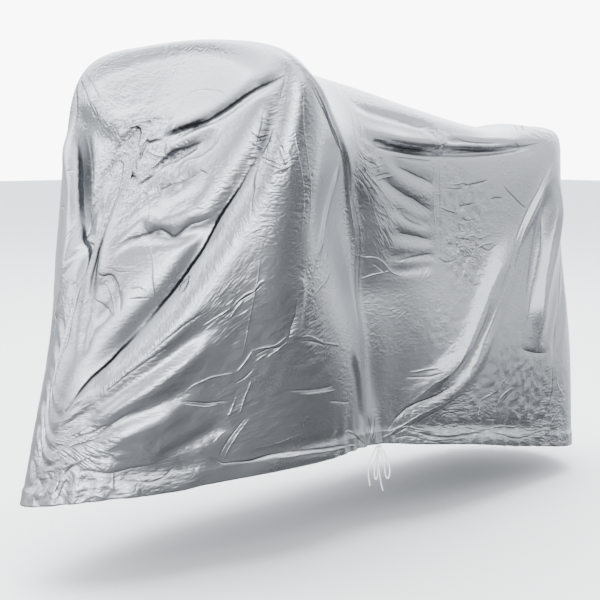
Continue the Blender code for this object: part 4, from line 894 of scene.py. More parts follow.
    ("hem dark 2", 2.6, -2.4, 0.5, ((6.31, 0.13), (6.52, 0.11), (6.73, 0.08), (6.96, 0.09), (7.2, 0.14))),
    ("hem thin 1", 2.2, 2.2, 0, ((4.4, 0.12), (4.77, 0.17), (5.04, 0.14), (5.31, 0.12))),
    ("hem thin 2", 2.2, 2, 0, ((4.88, 0.05), (5.24, 0.04), (5.6, 0.05), (5.89, 0.06))),
    ("hem thin 3", 2.2, -2, 0.4, ((4.51, 0.05), (4.84, 0.08), (5.1, 0.04), (5.47, 0))),
    ("hem thin 4", 2.2, 2, 0, ((5.72, 0.15), (5.97, 0.17), (6.17, 0.14), (6.39, 0.17))),
    ("hem thin 6", 2.2, 2, 0, ((6.37, 0.15), (6.53, 0.19), (6.73, 0.19), (6.92, 0.21))),
    ("hem thin 8", 2.2, 2, 0, ((6.93, 0.12), (7.13, 0.13), (7.27, 0.17), (7.45, 0.17))),
)
NEAR_CREASES = tuple(Crease(*row) for row in CREASE_ROWS)
FAR_SHIFT = 0.12
FAR_SKIP = 3
FAR_ALONG = (0.6, 8.3)
FAR_ROUND = 3.1
FAR_CREASES = tuple(
    crease.on_far_side(FAR_SHIFT)
    for number, crease in enumerate(NEAR_CREASES)
    if number % FAR_SKIP != 1
    and all(FAR_ALONG[0] < a < FAR_ALONG[1] and r < FAR_ROUND for a, r in crease.path)
)
RUMPLES = (
    #      name, middle, reach in metres, spare length, fine wrinkles, place that they run to
    Rumple("foil by the nose", (0.2, 2.8), 0.12, 0.012, 0.90),
    Rumple("foil by the pleat", (-0.5, 2.9), 0.09, 0.008, 0.80),
    Rumple("hood edge", (-1.3, 3.3), 0.13, 0.010, 0.60, (-2.7, 3.1)),
    Rumple("under the lip", (1.3, 2.9), 0.045, 0.004, 0.80, (1.3, 4.0)),
    Rumple("nose fan", (0.68, 0.48), 0.085, 0.010, 0.90, (-0.1, 0.7)),
    Rumple("nose foot", (0.4, 0.15), 0.10, 0.012, 0.42),
    Rumple("long nose fan", (1.35, 0.78), 0.12, 0.003, 0.30, (0.1, 0.65)),
    Rumple("front hem", (1.4, 0.14), 0.13, 0.010, 0.45, (3.4, 0.1)),
    Rumple("lower side", (2.4, 0.55), 0.16, 0.012, 0.40, (0.3, 0.05)),
    Rumple("side chain", (2.8, 1.15), 0.12, 0.008, 0.80, (1.2, 0.75)),
    Rumple("upper chain", (2.15, 1.36), 0.11, 0.006, 0.75, (0.9, 0.85)),
    Rumple("bar star", (2.3, 2.42), 0.050, 0.006, 0.40),
    Rumple("by the bar corner", (4.3, 2.6), 0.07, 0.012, 0.85, (3.85, 2.95)),
    Rumple("bar fan", (4.6, 2.15), 0.08, 0.010, 0.70, (3.85, 2.85)),
    Rumple("slit knot", (5.78, 3.0), 0.045, 0.016, 0.50),
    Rumple("slit start", (4.4, 2.84), 0.05, 0.012, 0.60),
    Rumple("seat side", (6.1, 2.3), 0.12, 0.006, 0.28),
    Rumple("low seat side", (6.05, 1.85), 0.085, 0.010, 0.85),
    Rumple("below the hook", (5.6, 1.0), 0.12, 0.010, 0.20, (4.4, 0.3)),
    Rumple("tail foot", (6.7, 0.65), 0.14, 0.014, 0.50, (7.3, 3.0)),
    Rumple("rear hem", (5.6, 0.13), 0.16, 0.020, 0.85, (9.0, 0.15)),
    Rumple("tail hem", (7.2, 0.15), 0.16, 0.020, 0.85, (4.0, 0.15)),
    Rumple("tail side", (7.9, 1.2), 0.12, 0.005, 0.40, (8.3, 3.2)),
    Rumple("tail bump", (8.0, 3.9), 0.10, 0.012, 0.60),
    Rumple("far front", (1.5, 6.5), 0.17, 0.012, 0.30, (2.9, 4.9)),
    Rumple("far rear", (6.2, 6.4), 0.20, 0.012, 0.30, (8.0, 4.9)),
    Rumple("far middle", (4.2, 6.6), 0.18, 0.014, 0.35, (4.0, 8.0)),
    Rumple("far front hem", (2.2, 7.85), 0.22, 0.014, 0.60, (5.5, 7.85)),
    Rumple("far rear hem", (6.6, 7.85), 0.28, 0.014, 0.60, (2.5, 7.85)),
)
PUCKERS = (
    #      name, reach in metres, strength, slant, path that the short wrinkles cross
    Pucker("diagonal band", 0.028, 0.9, -0.9,
         ((2.15, 2.36), (1.9, 2.06), (1.34, 1.52), (0.85, 1.12), (0.5, 0.85))),
    Pucker("groove head", 0.030, 0.5, 0.5, ((2.4, 2.95), (2.15, 2.72), (1.95, 2.5), (1.75, 2.3))),
    Pucker("lip puckers", 0.024, 0.6, 0.2, ((1.55, 2.98), (1.3, 2.95), (1.0, 2.96), (0.75, 3.0))),
    Pucker("sag knot", 0.030, 0.35, -0.5, ((4.75, 2.0), (4.9, 1.85), (5.15, 1.75), (5.5, 1.7))),
    Pucker("wide crest", 0.022, 0.35, 0.4, ((6.2, 1.5), (5.8, 1.0), (5.3, 0.65), (4.9, 0.45))),
    Pucker("tail foot", 0.045, 0.8, 0.9, ((6.7, 0.72), (6.4, 0.5), (6.15, 0.3))),
    Pucker("tail foot right", 0.035, 0.8, -0.6, ((7.2, 0.85), (7.1, 0.55), (7.1, 0.25))),
)
NEAR_GATHERS = (
    Gather("nose", 0.4, 1.1, 0.060, 0.0025),
    Gather("tie", 4.0, 0.9, 0.052, 0.0040),
    Gather("rear", 6.6, 1.6, 0.070, 0.0045),
)
FAR_GATHERS = (
    Gather("front", 1.6, 1.4, 0.064, 0.0035),
    Gather("middle", 4.4, 1.2, 0.075, 0.0040),
    Gather("rear", 7.4, 1.5, 0.066, 0.0045),
)


def spline_weights(f: Array) -> tuple[Array, ...]:
    """Weights of four neighbouring places for a smooth curve through them."""
    return (
        -0.5 * f + f**2 - 0.5 * f**3,
        1 - 2.5 * f**2 + 1.5 * f**3,
        0.5 * f + 2 * f**2 - 1.5 * f**3,
        -0.5 * f**2 + 0.5 * f**3,
    )


def smooth_through(knots: Array, count: int) -> Array:
    """Places on a smooth curve through some knots."""
    at = np.linspace(0, len(knots) - 1, count)
    piece = np.clip(np.floor(at).astype(int), 0, len(knots) - 2)
    ends = np.vstack([2 * knots[0] - knots[1], knots, 2 * knots[-1] - knots[-2]])
    return sum(w[:, None] * ends[piece + k] for k, w in enumerate(spline_weights(at - piece)))


@dataclass
class Chart:
    """The smooth form of the cover, as the part's source works it out."""

    origin_along: float = 4.8
    origin_drop: float = 0.004
    film: float = 0.0018
    net: Array = field(init=False)
    origin: Array = field(init=False)

    def __post_init__(self) -> None:
        """Works out the net of places and the origin."""
        self.net = self._control_net()
        top = self.spot((self.origin_along, CROWN_LINE))
        self.origin = top - np.array([0.0, 0.0, self.origin_drop + self.film])

    @property
    def last(self) -> int:
        """The last station."""
        return len(CROWN) - 1

    @staticmethod
    def _outward(middles: Array, others: Array, side: float) -> Array:
        """Works out the level direction out of one side at each station."""
        around = np.vstack([others[1], middles, others[-2]])
        run = around[2:] - around[:-2]
        run /= np.hypot(run[:, 0], run[:, 1])[:, None]
        return side * np.column_stack([run[:, 1], -run[:, 0], np.zeros(len(run))])

    def _control_net(self) -> Array:
        """Works out the places that the sheet passes through."""
        net = np.zeros((len(CROWN), FAR_HEM + 1, 3))
        tables = (NEAR_SIDE, FAR_SIDE)
        hems = [np.array([row.hem for row in table]) for table in tables]
        shoulders = [np.array([row.shoulder for row in table]) for table in tables]
        middles = [(hem + shoulder) / 2 for hem, shoulder in zip(hems, shoulders)]
        for index, table in enumerate(tables):
            out = self._outward(middles[index], middles[1 - index], 1.0 - 2.0 * index)
            rise = shoulders[index] - hems[index]
            low = hems[index] + rise / 3 + out * np.array([[row.low_out] for row in table])
            high = hems[index] + rise * 2 / 3 + out * np.array([[row.high_out] for row in table])
            for ring, places in enumerate((hems[index], low, high, shoulders[index])):
                net[:, ring if index == 0 else FAR_HEM - ring] = places
        net[:, CROWN_LINE] = CROWN
        return net

    def _round_the_ends(self, along: Array, round_: Array) -> tuple[Array, Array]:
        """Turns chart values past the nose or the tail into the other side's."""
        over = (along < 0) | (along > self.last)
        along = np.abs(along)
        along = np.where(along > self.last, 2 * self.last - along, along)
        return along, np.where(over, FAR_HEM - round_, round_)

    def _net_place(self, station: Array, ring: Array) -> Array:
        """Reads the net, also a step past its edges."""
        station, ring = self._round_the_ends(station, ring)
        inside = np.clip(ring, 0, FAR_HEM)
        place = self.net[station, inside]
        beside = self.net[station, np.where(ring < 0, 1, np.where(ring > FAR_HEM, FAR_HEM - 1, inside))]
        return np.where((ring != inside)[..., None], 2 * place - beside, place)

    def place(self, along: Array, round_: Array) -> Array:
        """Places of the smooth sheet.

        Args:
            along: chart values from nose to tail.
            round_: chart values from near hem to far hem.

        Returns:
            The places, with heights above the ground.
        """
        along, round_ = self._round_the_ends(along, round_)
        station = np.clip(np.floor(along).astype(int), 0, self.last - 1)
        ring = np.clip(np.floor(round_).astype(int), 0, FAR_HEM - 1)
        across = spline_weights(along - station)
        up = spline_weights(round_ - ring)
        place = np.zeros(along.shape + (3,))
        for a in range(4):
            for b in range(4):
                weight = (across[a] * up[b])[..., None]
                place += weight * self._net_place(station + a - 1, ring + b - 1)
        for push in PUSHES:
            far = ((along - push.along) / push.reach[0]) ** 2
            far = far + ((round_ - push.round) / push.reach[1]) ** 2
            place += np.exp(-far)[..., None] * np.array(push.move)
        return place

    def spot(self, chart_place: tuple[float, float]) -> Array:
        """One place of the smooth sheet."""
        along, round_ = chart_place
        return self.place(np.array([float(along)]), np.array([float(round_)]))[0]

    def line(self, path: ChartPath, count: int = 40) -> Array:
        """Places of the smooth sheet along a curve through a path's chart places."""
        chart = smooth_through(np.array(path, float), count)
        return self.place(chart[:, 0], chart[:, 1])


def smooth_random(seed: int, places: Array, size: float, cells: int = 32) -> Array:
    """Smooth noise from -1 to 1 in space.

    Args:
        seed: fixes the noise.
        places: where it is read.
        size: how far apart its swells lie, in metres.
        cells: after how many swells it repeats.

    Returns:
        One value for each place.
    """
    grid = np.random.default_rng(seed).uniform(-1, 1, (cells, cells, cells))
    at = places / size + cells / 2
    low = np.floor(at).astype(int)
    f = at - low
    f = f * f * (3 - 2 * f)
    total = np.zeros(len(places))
    for step in np.ndindex(2, 2, 2):
        weight = np.prod(np.abs(1 - np.array(step) - f), axis=1)
        corner = (low + step) % cells
        total += weight * grid[corner[:, 0], corner[:, 1], corner[:, 2]]
    return total


def beside(line: Array, places: Array, normals: Array, reach: float) -> tuple[Array, ...]:
    """Tells how places near a line lie beside it.

    Args:
        line: close places along it.
        places: all places.
        normals: their directions out of the sheet.
        reach: how far from the line a place still counts.

    Returns:
        The near places' indices, their distances, below nought on the right, their shares of
        the line's run and the directions across it.
    """
    inside = ((places > line.min(axis=0) - reach) & (places < line.max(axis=0) + reach)).all(axis=1)
    near = np.flatnonzero(inside)
    here = places[near]
    best = np.full(len(near), np.inf)
    share = np.zeros(len(near))
    sign = np.ones(len(near))
    across = np.zeros((len(near), 3))
    runs = line[1:] - line[:-1]
    lengths = np.linalg.norm(runs, axis=1)
    starts = np.concatenate([[0.0], np.cumsum(lengths)])
    for i, run in enumerate(runs):
        offset = here - line[i]
        f = np.clip(offset @ run / lengths[i] ** 2, 0, 1)
        gap = offset - f[:, None] * run
        far = np.einsum("ij,ij->i", gap, gap)
        closer = far < best
        left = np.cross(normals[near], run / lengths[i])
        side = np.einsum("ij,ij->i", left, gap)
        best = np.where(closer, far, best)
        share = np.where(closer, (starts[i] + f * lengths[i]) / starts[-1], share)
        sign = np.where(closer, np.where(side < 0, -1.0, 1.0), sign)
        across = np.where(closer[:, None], left, across)
    keep = best < reach**2
    return near[keep], (np.sqrt(best) * sign)[keep], share[keep], across[keep]


def rounded_ends(share: Array, power: float) -> Array:
    """A fade that is 0 at both ends of a run and 1 at its middle."""
    return np.clip(np.sin(np.pi * share), 0, 1) ** power


# --------------------------------------------------------------------------- the film


def unit(vectors: Array) -> Array:
    """Vectors of length one, with the same directions."""
    return vectors / (np.linalg.norm(vectors, axis=-1, keepdims=True) + 1e-12)


def zip_up(values: Array) -> Array:
    """Makes a grid's first and last columns the same on both sides, as the sheet is there."""
    values[[0, -1]] = (values[[0, -1]] + values[[0, -1], ::-1]) / 2
    return values


def grid_normals(places: Array) -> Array:
    """Outward directions on a grid whose first and last columns are zipped up."""
    across = np.gradient(places, axis=0)
    across[0] = places[1] - places[1, ::-1]
    across[-1] = places[-2, ::-1] - places[-2]
    normals = unit(np.cross(across, np.gradient(places, axis=1)))
    return unit(zip_up(normals))


@dataclass
class Buckling:
    """Lets the film buckle where it has spare length, as thin film does.

    Each stretch between neighbouring points gets its rest length from the folded sheet and the
    spare length there. The points move until the stretches have those lengths, while the sheet
    as a whole stays on its folds.
    """

    target: Array
    normals: Array
    spare: Array
    rounds: int = 90
    straight: float = 0.9
    slanted: float = 0.5
    bend: float = 0.10
    hold: float = 0.55
    hold_every: int = 3
    rim_hold: float = 0.3
    window: int = 5
    seed: int = 11
    swell: float = 0.022
    small_swell: float = 0.013
    small_share: float = 0.6
    start: float = 0.012
    least_spare: float = 0.003

    def _rest(self, a: tuple, b: tuple) -> Array:
        """Works out the rest lengths between two sets of points."""
        run = self.target[b] - self.target[a]
        length = np.linalg.norm(run, axis=-1)
        spare = (self.spare[a] + self.spare[b]) / 2
        stretch = np.einsum("...i,...ij,...j->...", run, spare, run) / (length**2 + 1e-12)
        return length * (1 + stretch)

    def _links(self) -> list[tuple[tuple, tuple, Array, float]]:
        """Lists every set of links. No two links of a set share a point."""
        columns, rows = self.target.shape[:2]
        links = []
        for di, dj, stiffness in (
            (1, 0, self.straight),
            (0, 1, self.straight),
            (1, 1, self.slanted),
            (1, -1, self.slanted),
            (2, 0, self.bend),
            (0, 2, self.bend),
        ):
            gap = max(di, abs(dj))
            step = 2 * gap
            for start in range(step):
                if di > 0:
                    count = len(range(start, columns - di, step))
                    left = slice(0, rows - dj) if dj >= 0 else slice(-dj, rows)
                    right = slice(dj, rows) if dj >= 0 else slice(0, rows + dj)
                    a = (slice(start, columns - di, step), left)
                    b = (slice(start + di, start + di + step * count, step), right)
                else:
                    count = len(range(start, rows - dj, step))
                    a = (slice(None), slice(start, rows - dj, step))
                    b = (slice(None), slice(start + dj, start + dj + step * count, step))
                if count:
                    links.append((a, b, self._rest(a, b), stiffness))
        return links

    def _blur(self, moves: Array) -> Array:
        """Takes the mean over a square window of the grid, twice."""
        w = self.window
        for axis in (0, 1, 0, 1):
            pad = [(0, 0)] * 3
            pad[axis] = (w + 1, w)
            total = np.cumsum(np.pad(moves, pad, mode="edge"), axis=axis)
            n = moves.shape[axis]
            high = np.take(total, range(2 * w + 1, 2 * w + 1 + n), axis=axis)
            moves = (high - np.take(total, range(n), axis=axis)) / (2 * w + 1)
        return moves

    def _started(self, amount: Array) -> Array:
        """Pushes the points out and in a little, so that they have a way to buckle."""
        flat = self.target.reshape(-1, 3)
        start = smooth_random(self.seed, flat, self.swell)
        start = start + self.small_share * smooth_random(self.seed + 1, flat, self.small_swell)
        strength = np.sqrt(np.clip(amount, 0, 1)) * self.start
        return self.target + (start.reshape(strength.shape) * strength)[..., None] * self.normals

    def run(self) -> Array:
        """Moves the points.

        Returns:
            Their places once they have settled.
        """
        amount = np.trace(self.spare, axis1=2, axis2=3)
        places = self._started(amount)
        links = self._links()
        for turn in range(self.rounds):
            for a, b, rest, stiffness in links:
                run = places[b] - places[a]
                length = np.sqrt(np.einsum("...i,...i->...", run, run)) + 1e-9
                share = (0.5 * stiffness * (1 - rest / length))[..., None] * run
                places[a] += share
                places[b] -= share
            if turn % self.hold_every == self.hold_every - 1 or turn == self.rounds - 1:
                places -= self.hold * self._blur(places - self.target)
            places[:, [0, -1]] += self.rim_hold * (self.target - places)[:, [0, -1]]
            zip_up(places)
        kept = 1 - np.exp(-amount / self.least_spare)
        return self.target + kept[..., None] * (places - self.target)


@dataclass
class CreaseMap:
    """Tells the finish how far each point of the film lies from the sharp creases near it, and how much
    painted shade their bottoms get.

    A crease is much finer than the mesh, but the distance from it is smooth, so the finish can
    draw the crease across that distance. Creases whose areas meet go on different layers.
    """

    chart: Chart
    places: Array
    normals: Array
    steps: int = 26
    reach: float = 3.2
    margin: float = 0.017
    farthest: float = 9.0
    end_power: float = 0.55
    layers: list[Array] = field(default_factory=list)
    taken: list[Array] = field(default_factory=list)

    def add(self, crease: Crease) -> None:
        """Puts a crease on the first layer that is free all round it."""
        line = self.chart.line(crease.path, self.steps)
        width = crease.width / 1000.0
        area = self.reach * width + self.margin
        near, gap, share, _ = beside(line, self.places, self.normals, area)
        free = [n for n, taken in enumerate(self.taken) if not taken[near].any()]
        if not free:
            free = [len(self.layers)]
            self.layers.append(np.zeros((len(self.places), 3)))
            self.taken.append(np.zeros(len(self.places), bool))
        layer = self.layers[free[0]]
        fade = rounded_ends(share, self.end_power)
        fade = fade * (np.abs(gap) < area - 0.6 * self.margin)
        layer[near, 0] = np.clip(gap / width, -self.farthest, self.farthest)
        layer[near, 1] = crease.rise * fade
        # painted shade for the crease's bottom, faded towards its ends
        layer[near, 2] = crease.shade * fade
        self.taken[free[0]][near] = True


@dataclass
class FilmCover:
    """The cover's film: one sheet with its hem casing, folded as in the photograph.

    The grid is finer where the fineness fields are larger. Reaches of folds are in widths.
    """

    chart: Chart
    hem_height: float = 0.036
    hem_thick: float = 0.0060
    hem_step: float = 0.0022
    hem_rows: tuple[float, ...] = (0.0, 0.12, 0.30, 0.52, 0.74, 0.92, 1.0, 1.12)
    columns: int = 290
    rows: int = 284
    coarser: int = 3
    nose_fineness: float = 1.25
    tail_fineness: float = 0.85
    near_fineness: float = 1.35
    far_fineness: float = 0.8
    near_until: float = 4.2
    gather_up: float = 0.28
    gather_sway: float = 1.7
    gather_sway_rate: float = 9.0
    fold_end: float = 0.26
    fold_reach: float = 3.5
    flank_reach: float = 7.4
    flank_fade: float = 2.8
    pucker_reach: float = 2.6
    skin: float = 0.0018
    layers: list[Array] = field(default_factory=list)
    piece: bpy.types.Object | None = None

    @staticmethod
    def _even(chart: Array, steps: Array, count: int) -> Array:
        """Spreads chart values so that their steps have even lengths on the sheet."""
        length = np.concatenate([[0], np.cumsum(steps)])
        return np.interp(np.linspace(0, length[-1], count + 1), length, chart)

    def _steps(self, along: Array, round_: Array, axis: int) -> Array:
        """Measures the mean step lengths of some chart lines."""
        a, r = np.meshgrid(along, round_, indexing="ij")
        steps = np.diff(self.chart.place(a, r), axis=axis)
        return np.linalg.norm(steps, axis=2).mean(axis=1 - axis)

    def _lines(self) -> tuple[Array, Array, float]:
        """Places the grid's lines."""
        last = self.chart.last
        fine = np.linspace(0, last, 40 * last + 1)
        rings = np.delete(np.arange(FAR_HEM + 1.0), CROWN_LINE)
        steps = self._steps(fine, rings, 0)
        weights = np.linspace(self.nose_fineness, self.tail_fineness, len(steps))
        along = self._even(fine, steps * weights, self.columns)
        fine = np.linspace(0, FAR_HEM, 40 * FAR_HEM + 1)
        steps = self._steps(np.linspace(0.5, last - 0.5, last), fine, 1)
        weights = np.where(fine[1:] < self.near_until, self.near_fineness, self.far_fineness)
        round_ = self._even(fine, steps * weights, self.rows)
        side = np.interp(3.0, fine, np.concatenate([[0], np.cumsum(steps)]))
        casing = 3.0 * self.hem_height / side
        edge = casing * np.array(self.hem_rows)
        clear = 1.3 * edge[-1]
        inner = round_[(round_ > clear) & (round_ < FAR_HEM - clear)]
        return along, np.concatenate([edge, inner, FAR_HEM - edge[::-1]]), casing

    def _fold(self, fold: Fold, places: Array, normals: Array, move: Array) -> None:
        """Adds what a fold moves: each place out of the smooth sheet, and across the fold."""
        line = self.chart.line(fold.path)
        reach = self.flank_reach if fold.shape is FLANK else self.fold_reach
        near, gap, share, across = beside(line, places, normals, reach * fold.width)
        x = gap / fold.width
        fade = np.clip(np.minimum(share, 1 - share) / self.fold_end, 0, 1)
        fade = fade * fade * (3 - 2 * fade)
        if fold.shape in (STEP, FLANK):
            profile = x * np.exp(0.5 - x**2 / 2)
        else:
            profile = np.exp(-(x**2)) * (1.0 if fold.shape is RIDGE else -1.0)
        if fold.shape is FLANK:
            profile = np.where(x > 1, np.exp(-(((x - 1) / self.flank_fade) ** 2)), profile)
        move[near] += (fold.depth * fade * profile)[:, None] * normals[near]
        if fold.lean:
            move[near] += (fold.lean * fade * np.exp(-(x**2) / 2))[:, None] * across

    def _gather_height(self, along: Array, round_: Array, run: Array) -> Array:
        """Works out the small upright gathers at the hem."""
        height = np.zeros(along.shape)
        near = round_ <= CROWN_LINE
        up = np.where(near, round_, FAR_HEM - round_)
        sway = self.gather_sway * np.sin(run * self.gather_sway_rate)
        for gathers, side in ((NEAR_GATHERS, near), (FAR_GATHERS, ~near)):
            for gather in gathers:
                x = np.clip(np.abs(along - gather.along) / gather.reach, 0, 1)
                fade = 0.5 + 0.5 * np.cos(np.pi * x)
                wave = np.sin(2 * np.pi * run / gather.wave + sway)
                height += side * gather.depth * fade * wave * np.exp(-((up / self.gather_up) ** 2))
        return height

    def _spare(self, base: Array, normals: Array) -> Array:
        """Works out the spare length at each place."""
        spare = np.zeros(base.shape[:2] + (3, 3))
        for rumple in RUMPLES:
            far = np.sum((base - self.chart.spot(rumple.middle)) ** 2, axis=2)
            weight = (rumple.spare * np.exp(-far / rumple.reach**2))[..., None, None]
            if rumple.toward is None:
                spare += weight * np.eye(3)
                continue
            across = unit(np.cross(normals, self.chart.spot(rumple.toward) - base))
            spare += weight * across[..., :, None] * across[..., None, :]
        return spare

    def _folded(self, a: Array, r: Array, base: Array, normals: Array) -> Array:
        """Folds the smooth sheet and gathers its hems."""
        move = np.zeros((base.size // 3, 3))
        for fold in MAIN_FOLDS:
            self._fold(fold, base.reshape(-1, 3), normals.reshape(-1, 3), move)
        move = move.reshape(base.shape)
        rows = base.shape[1]
        steps = np.linalg.norm(np.diff(base[:, rows // 8], axis=0), axis=1)
        run = np.concatenate([[0.0], np.cumsum(steps)])[:, None] + np.zeros_like(a)
        move += self._gather_height(a, r, run)[..., None] * normals
        return base + zip_up(move)

    def points(self) -> dict[str, Array]:
        """Works out the folded and wrinkled sheet.

        Returns:
            Its points, the casing's mask and what its finish reads, all on the chart grid.
        """
        along, round_, casing = self._lines()
        a, r = np.meshgrid(along, round_, indexing="ij")
        base = self.chart.place(a, r)
        normals = grid_normals(base)
        places = self._folded(a, r, base, normals)
        places = Buckling(places, grid_normals(places), self._spare(base, normals)).run()
        in_casing = np.minimum(r, FAR_HEM - r) <= casing * 1.01
        places = places + self.hem_step * in_casing[..., None] * grid_normals(places)
        creases = CreaseMap(self.chart, base.reshape(-1, 3), normals.reshape(-1, 3))
        for crease in NEAR_CREASES + FAR_CREASES:
            creases.add(crease)
        self.layers = [layer.reshape(base.shape) for layer in creases.layers]
        crumple, wrinkles = self._fine_wrinkles(base, normals)
        return {
            "places": places - self.chart.origin,
            "base": base - self.chart.origin,
            "normals": normals,
            "casing": in_casing,
            "crumple": crumple,
            "wrinkles": wrinkles,
        }

    def _fine_wrinkles(self, base: Array, normals: Array) -> tuple[Array, Array]:
        """How crumpled the film is, and the places across and along its fine wrinkles.

        Args:
            base: places of the smooth sheet.
            normals: its outward directions.

        Returns:
            The strength of the crumpled net, and three values for the wrinkles that run side by
            side: the way across them, the way along them and their strength.
        """
        crumple = np.zeros(base.shape[:2])
        best = np.zeros(base.shape[:2])
        second = np.zeros(base.shape[:2])
        ways = np.zeros(base.shape)
        for rumple in RUMPLES:
            middle = self.chart.spot(rumple.middle)
            far = np.sum((base - middle) ** 2, axis=2)
            weight = rumple.fine * np.exp(-far / rumple.reach**2)
            if rumple.toward is None:
                crumple += weight
                continue
            focus = self.chart.spot(rumple.toward)
            closest = np.unravel_index(np.argmin(far), far.shape)
            axis = middle - focus
            radius = float(np.linalg.norm(axis))
            side = unit(np.cross(normals[closest], axis))
            away = base - focus
            angle = np.arctan2(away @ side, away @ (axis / radius))
            stronger = weight > best
            second = np.where(stronger, best, np.maximum(second, weight))
            best = np.where(stronger, weight, best)
            ways[stronger, 0] = (angle * radius)[stronger] + rumple.middle[0]
            ways[stronger, 1] = np.linalg.norm(away, axis=2)[stronger]
        flat = (base.reshape(-1, 3), normals.reshape(-1, 3))
        for pucker in PUCKERS:
            line = self.chart.line(pucker.path)
            near, gap, share, _ = beside(line, *flat, self.pucker_reach * pucker.reach)
            run = share * float(np.linalg.norm(np.diff(line, axis=0), axis=1).sum())
            weight = pucker.strength * rounded_ends(share, 0.5) * np.exp(-((gap / pucker.reach) ** 2))
            at = np.unravel_index(near, best.shape)
            stronger = weight > best[at]
            second[at] = np.where(stronger, best[at], np.maximum(second[at], weight))
            best[at] = np.where(stronger, weight, best[at])
            scale = math.hypot(1.0, pucker.slant)
            chosen = tuple(axis[stronger] for axis in at)
            ways[(*chosen, 0)] = ((run + pucker.slant * gap) / scale)[stronger]
            ways[(*chosen, 1)] = ((gap - pucker.slant * run) / scale)[stronger]
        ways[..., 2] = best - second
        return crumple, ways

    @staticmethod
    def _zipped(columns: int, rows: int) -> tuple[Array, Array]:
        """Numbers a grid's points, with the same numbers on both sides of the nose and tail."""
        number = np.arange(columns * rows).reshape(columns, rows)
        for end in (0, -1):
            number[end, (rows + 1) // 2 :] = number[end, : rows // 2][::-1]
        used, index = np.unique(number, return_inverse=True)
        return used, index.reshape(number.shape)

    @staticmethod
    def _quads(index: Array) -> list[tuple[int, ...]]:
        """The faces between a grid's points. Some at the ends have three corners only."""
        around = (index[:-1, :-1], index[1:, :-1], index[1:, 1:], index[:-1, 1:])
        quads = np.stack([c.reshape(-1) for c in around], axis=1)
        return [tuple(dict.fromkeys(q)) for q in quads.tolist()]

    def build(self) -> bpy.types.Object:
        """Makes the closed mesh of the film: a fine outer skin and a coarser inner one.

        Returns:
            The film's object.
        """
        sheet = self.points()
        used, index = self._zipped(*sheet["places"].shape[:2])
        outer = sheet["places"].reshape(-1, 3)[used]
        inner, inner_faces, picked = self._inner(sheet, len(outer))
        faces = self._quads(index) + inner_faces + self._rim(index, picked)
        mesh = bpy.data.meshes.new("film")
        mesh.from_pydata(np.vstack([outer, inner]).tolist(), [], faces)
        mesh.validate()
        mesh.update()
        self._write(mesh, "crumple", sheet["crumple"].reshape(-1, 1)[used])
        self._write(mesh, "wrinkles", sheet["wrinkles"].reshape(-1, 3)[used])
        for number, layer in enumerate(self.layers):
            self._write(mesh, f"crease_{number}", layer.reshape(-1, 3)[used])
        mesh.shade_smooth()
        self.piece = bpy.data.objects.new("film", mesh)
        bpy.context.scene.collection.objects.link(self.piece)
        return self.piece

    @staticmethod
    def _write(mesh: bpy.types.Mesh, name: str, values: Array) -> None:
        """Writes a point attribute of one or three values. The inner skin's are nought."""
        full = np.zeros((len(mesh.vertices), values.shape[1]))
        full[: len(values)] = values
        kind, key = ("FLOAT", "value") if values.shape[1] == 1 else ("FLOAT_VECTOR", "vector")
        mesh.attributes.new(name, kind, "POINT").data.foreach_set(key, full.reshape(-1))

    def _lowest(self, height: Array) -> Array:
        """Finds the least height near each point, also over the nose and the tail."""
        n = self.coarser + 2
        wide = np.concatenate([height[n:0:-1, ::-1], height, height[-2 : -n - 2 : -1, ::-1]])
        low = np.min([wide[i : i + len(height)] for i in range(2 * n + 1)], axis=0)
        wide = np.pad(low, ((0, 0), (n, n)), mode="edge")
        return np.min([wide[:, i : i + height.shape[1]] for i in range(2 * n + 1)], axis=0)

    def _inner(self, sheet: dict[str, Array], first: int) -> tuple[Array, list, tuple]:
        """Makes the inner skin on a coarser grid, below the deepest fold near each point."""
        base, normals = sheet["base"], sheet["normals"]
        columns, rows = base.shape[:2]
        pick_i = np.unique(np.append(np.arange(0, columns, self.coarser), columns - 1))
        half = np.arange(0, (rows + 1) // 2, self.coarser)
        pick_j = np.unique(np.concatenate([half, rows - 1 - half]))
        height = np.einsum("...i,...i->...", sheet["places"] - base, normals)
        thick = np.where(sheet["casing"], self.hem_thick, self.skin)
        skin = zip_up(base + (self._lowest(height) - thick)[..., None] * normals)
        used, index = self._zipped(len(pick_i), len(pick_j))
        index = index + first
        inner = skin[np.ix_(pick_i, pick_j)].reshape(-1, 3)[used]
        return inner, self._quads(index[:, ::-1]), (pick_i, index)

    @staticmethod
    def _rim(index: Array, picked: tuple) -> list[tuple[int, ...]]:
        """Closes the hem's edge, between the fine outer line and the coarser inner one."""
        pick_i, inner = picked
        faces = []
        for k in range(len(pick_i) - 1):
            low, high = pick_i[k], pick_i[k + 1]
            near = [int(v) for v in index[low : high + 1, 0]]
            far = [int(v) for v in index[low : high + 1, -1]]
            faces.append(tuple(near[::-1]) + (int(inner[k, 0]), int(inner[k + 1, 0])))
            faces.append(tuple(far) + (int(inner[k + 1, -1]), int(inner[k, -1])))
        return faces

    def dress(self) -> None:
        self.piece.data.materials.append(SilverFilm().make(len(self.layers)))
        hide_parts("cover_shell")
        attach(self.piece, "root")


# --------------------------------------------------------------------------- the bow

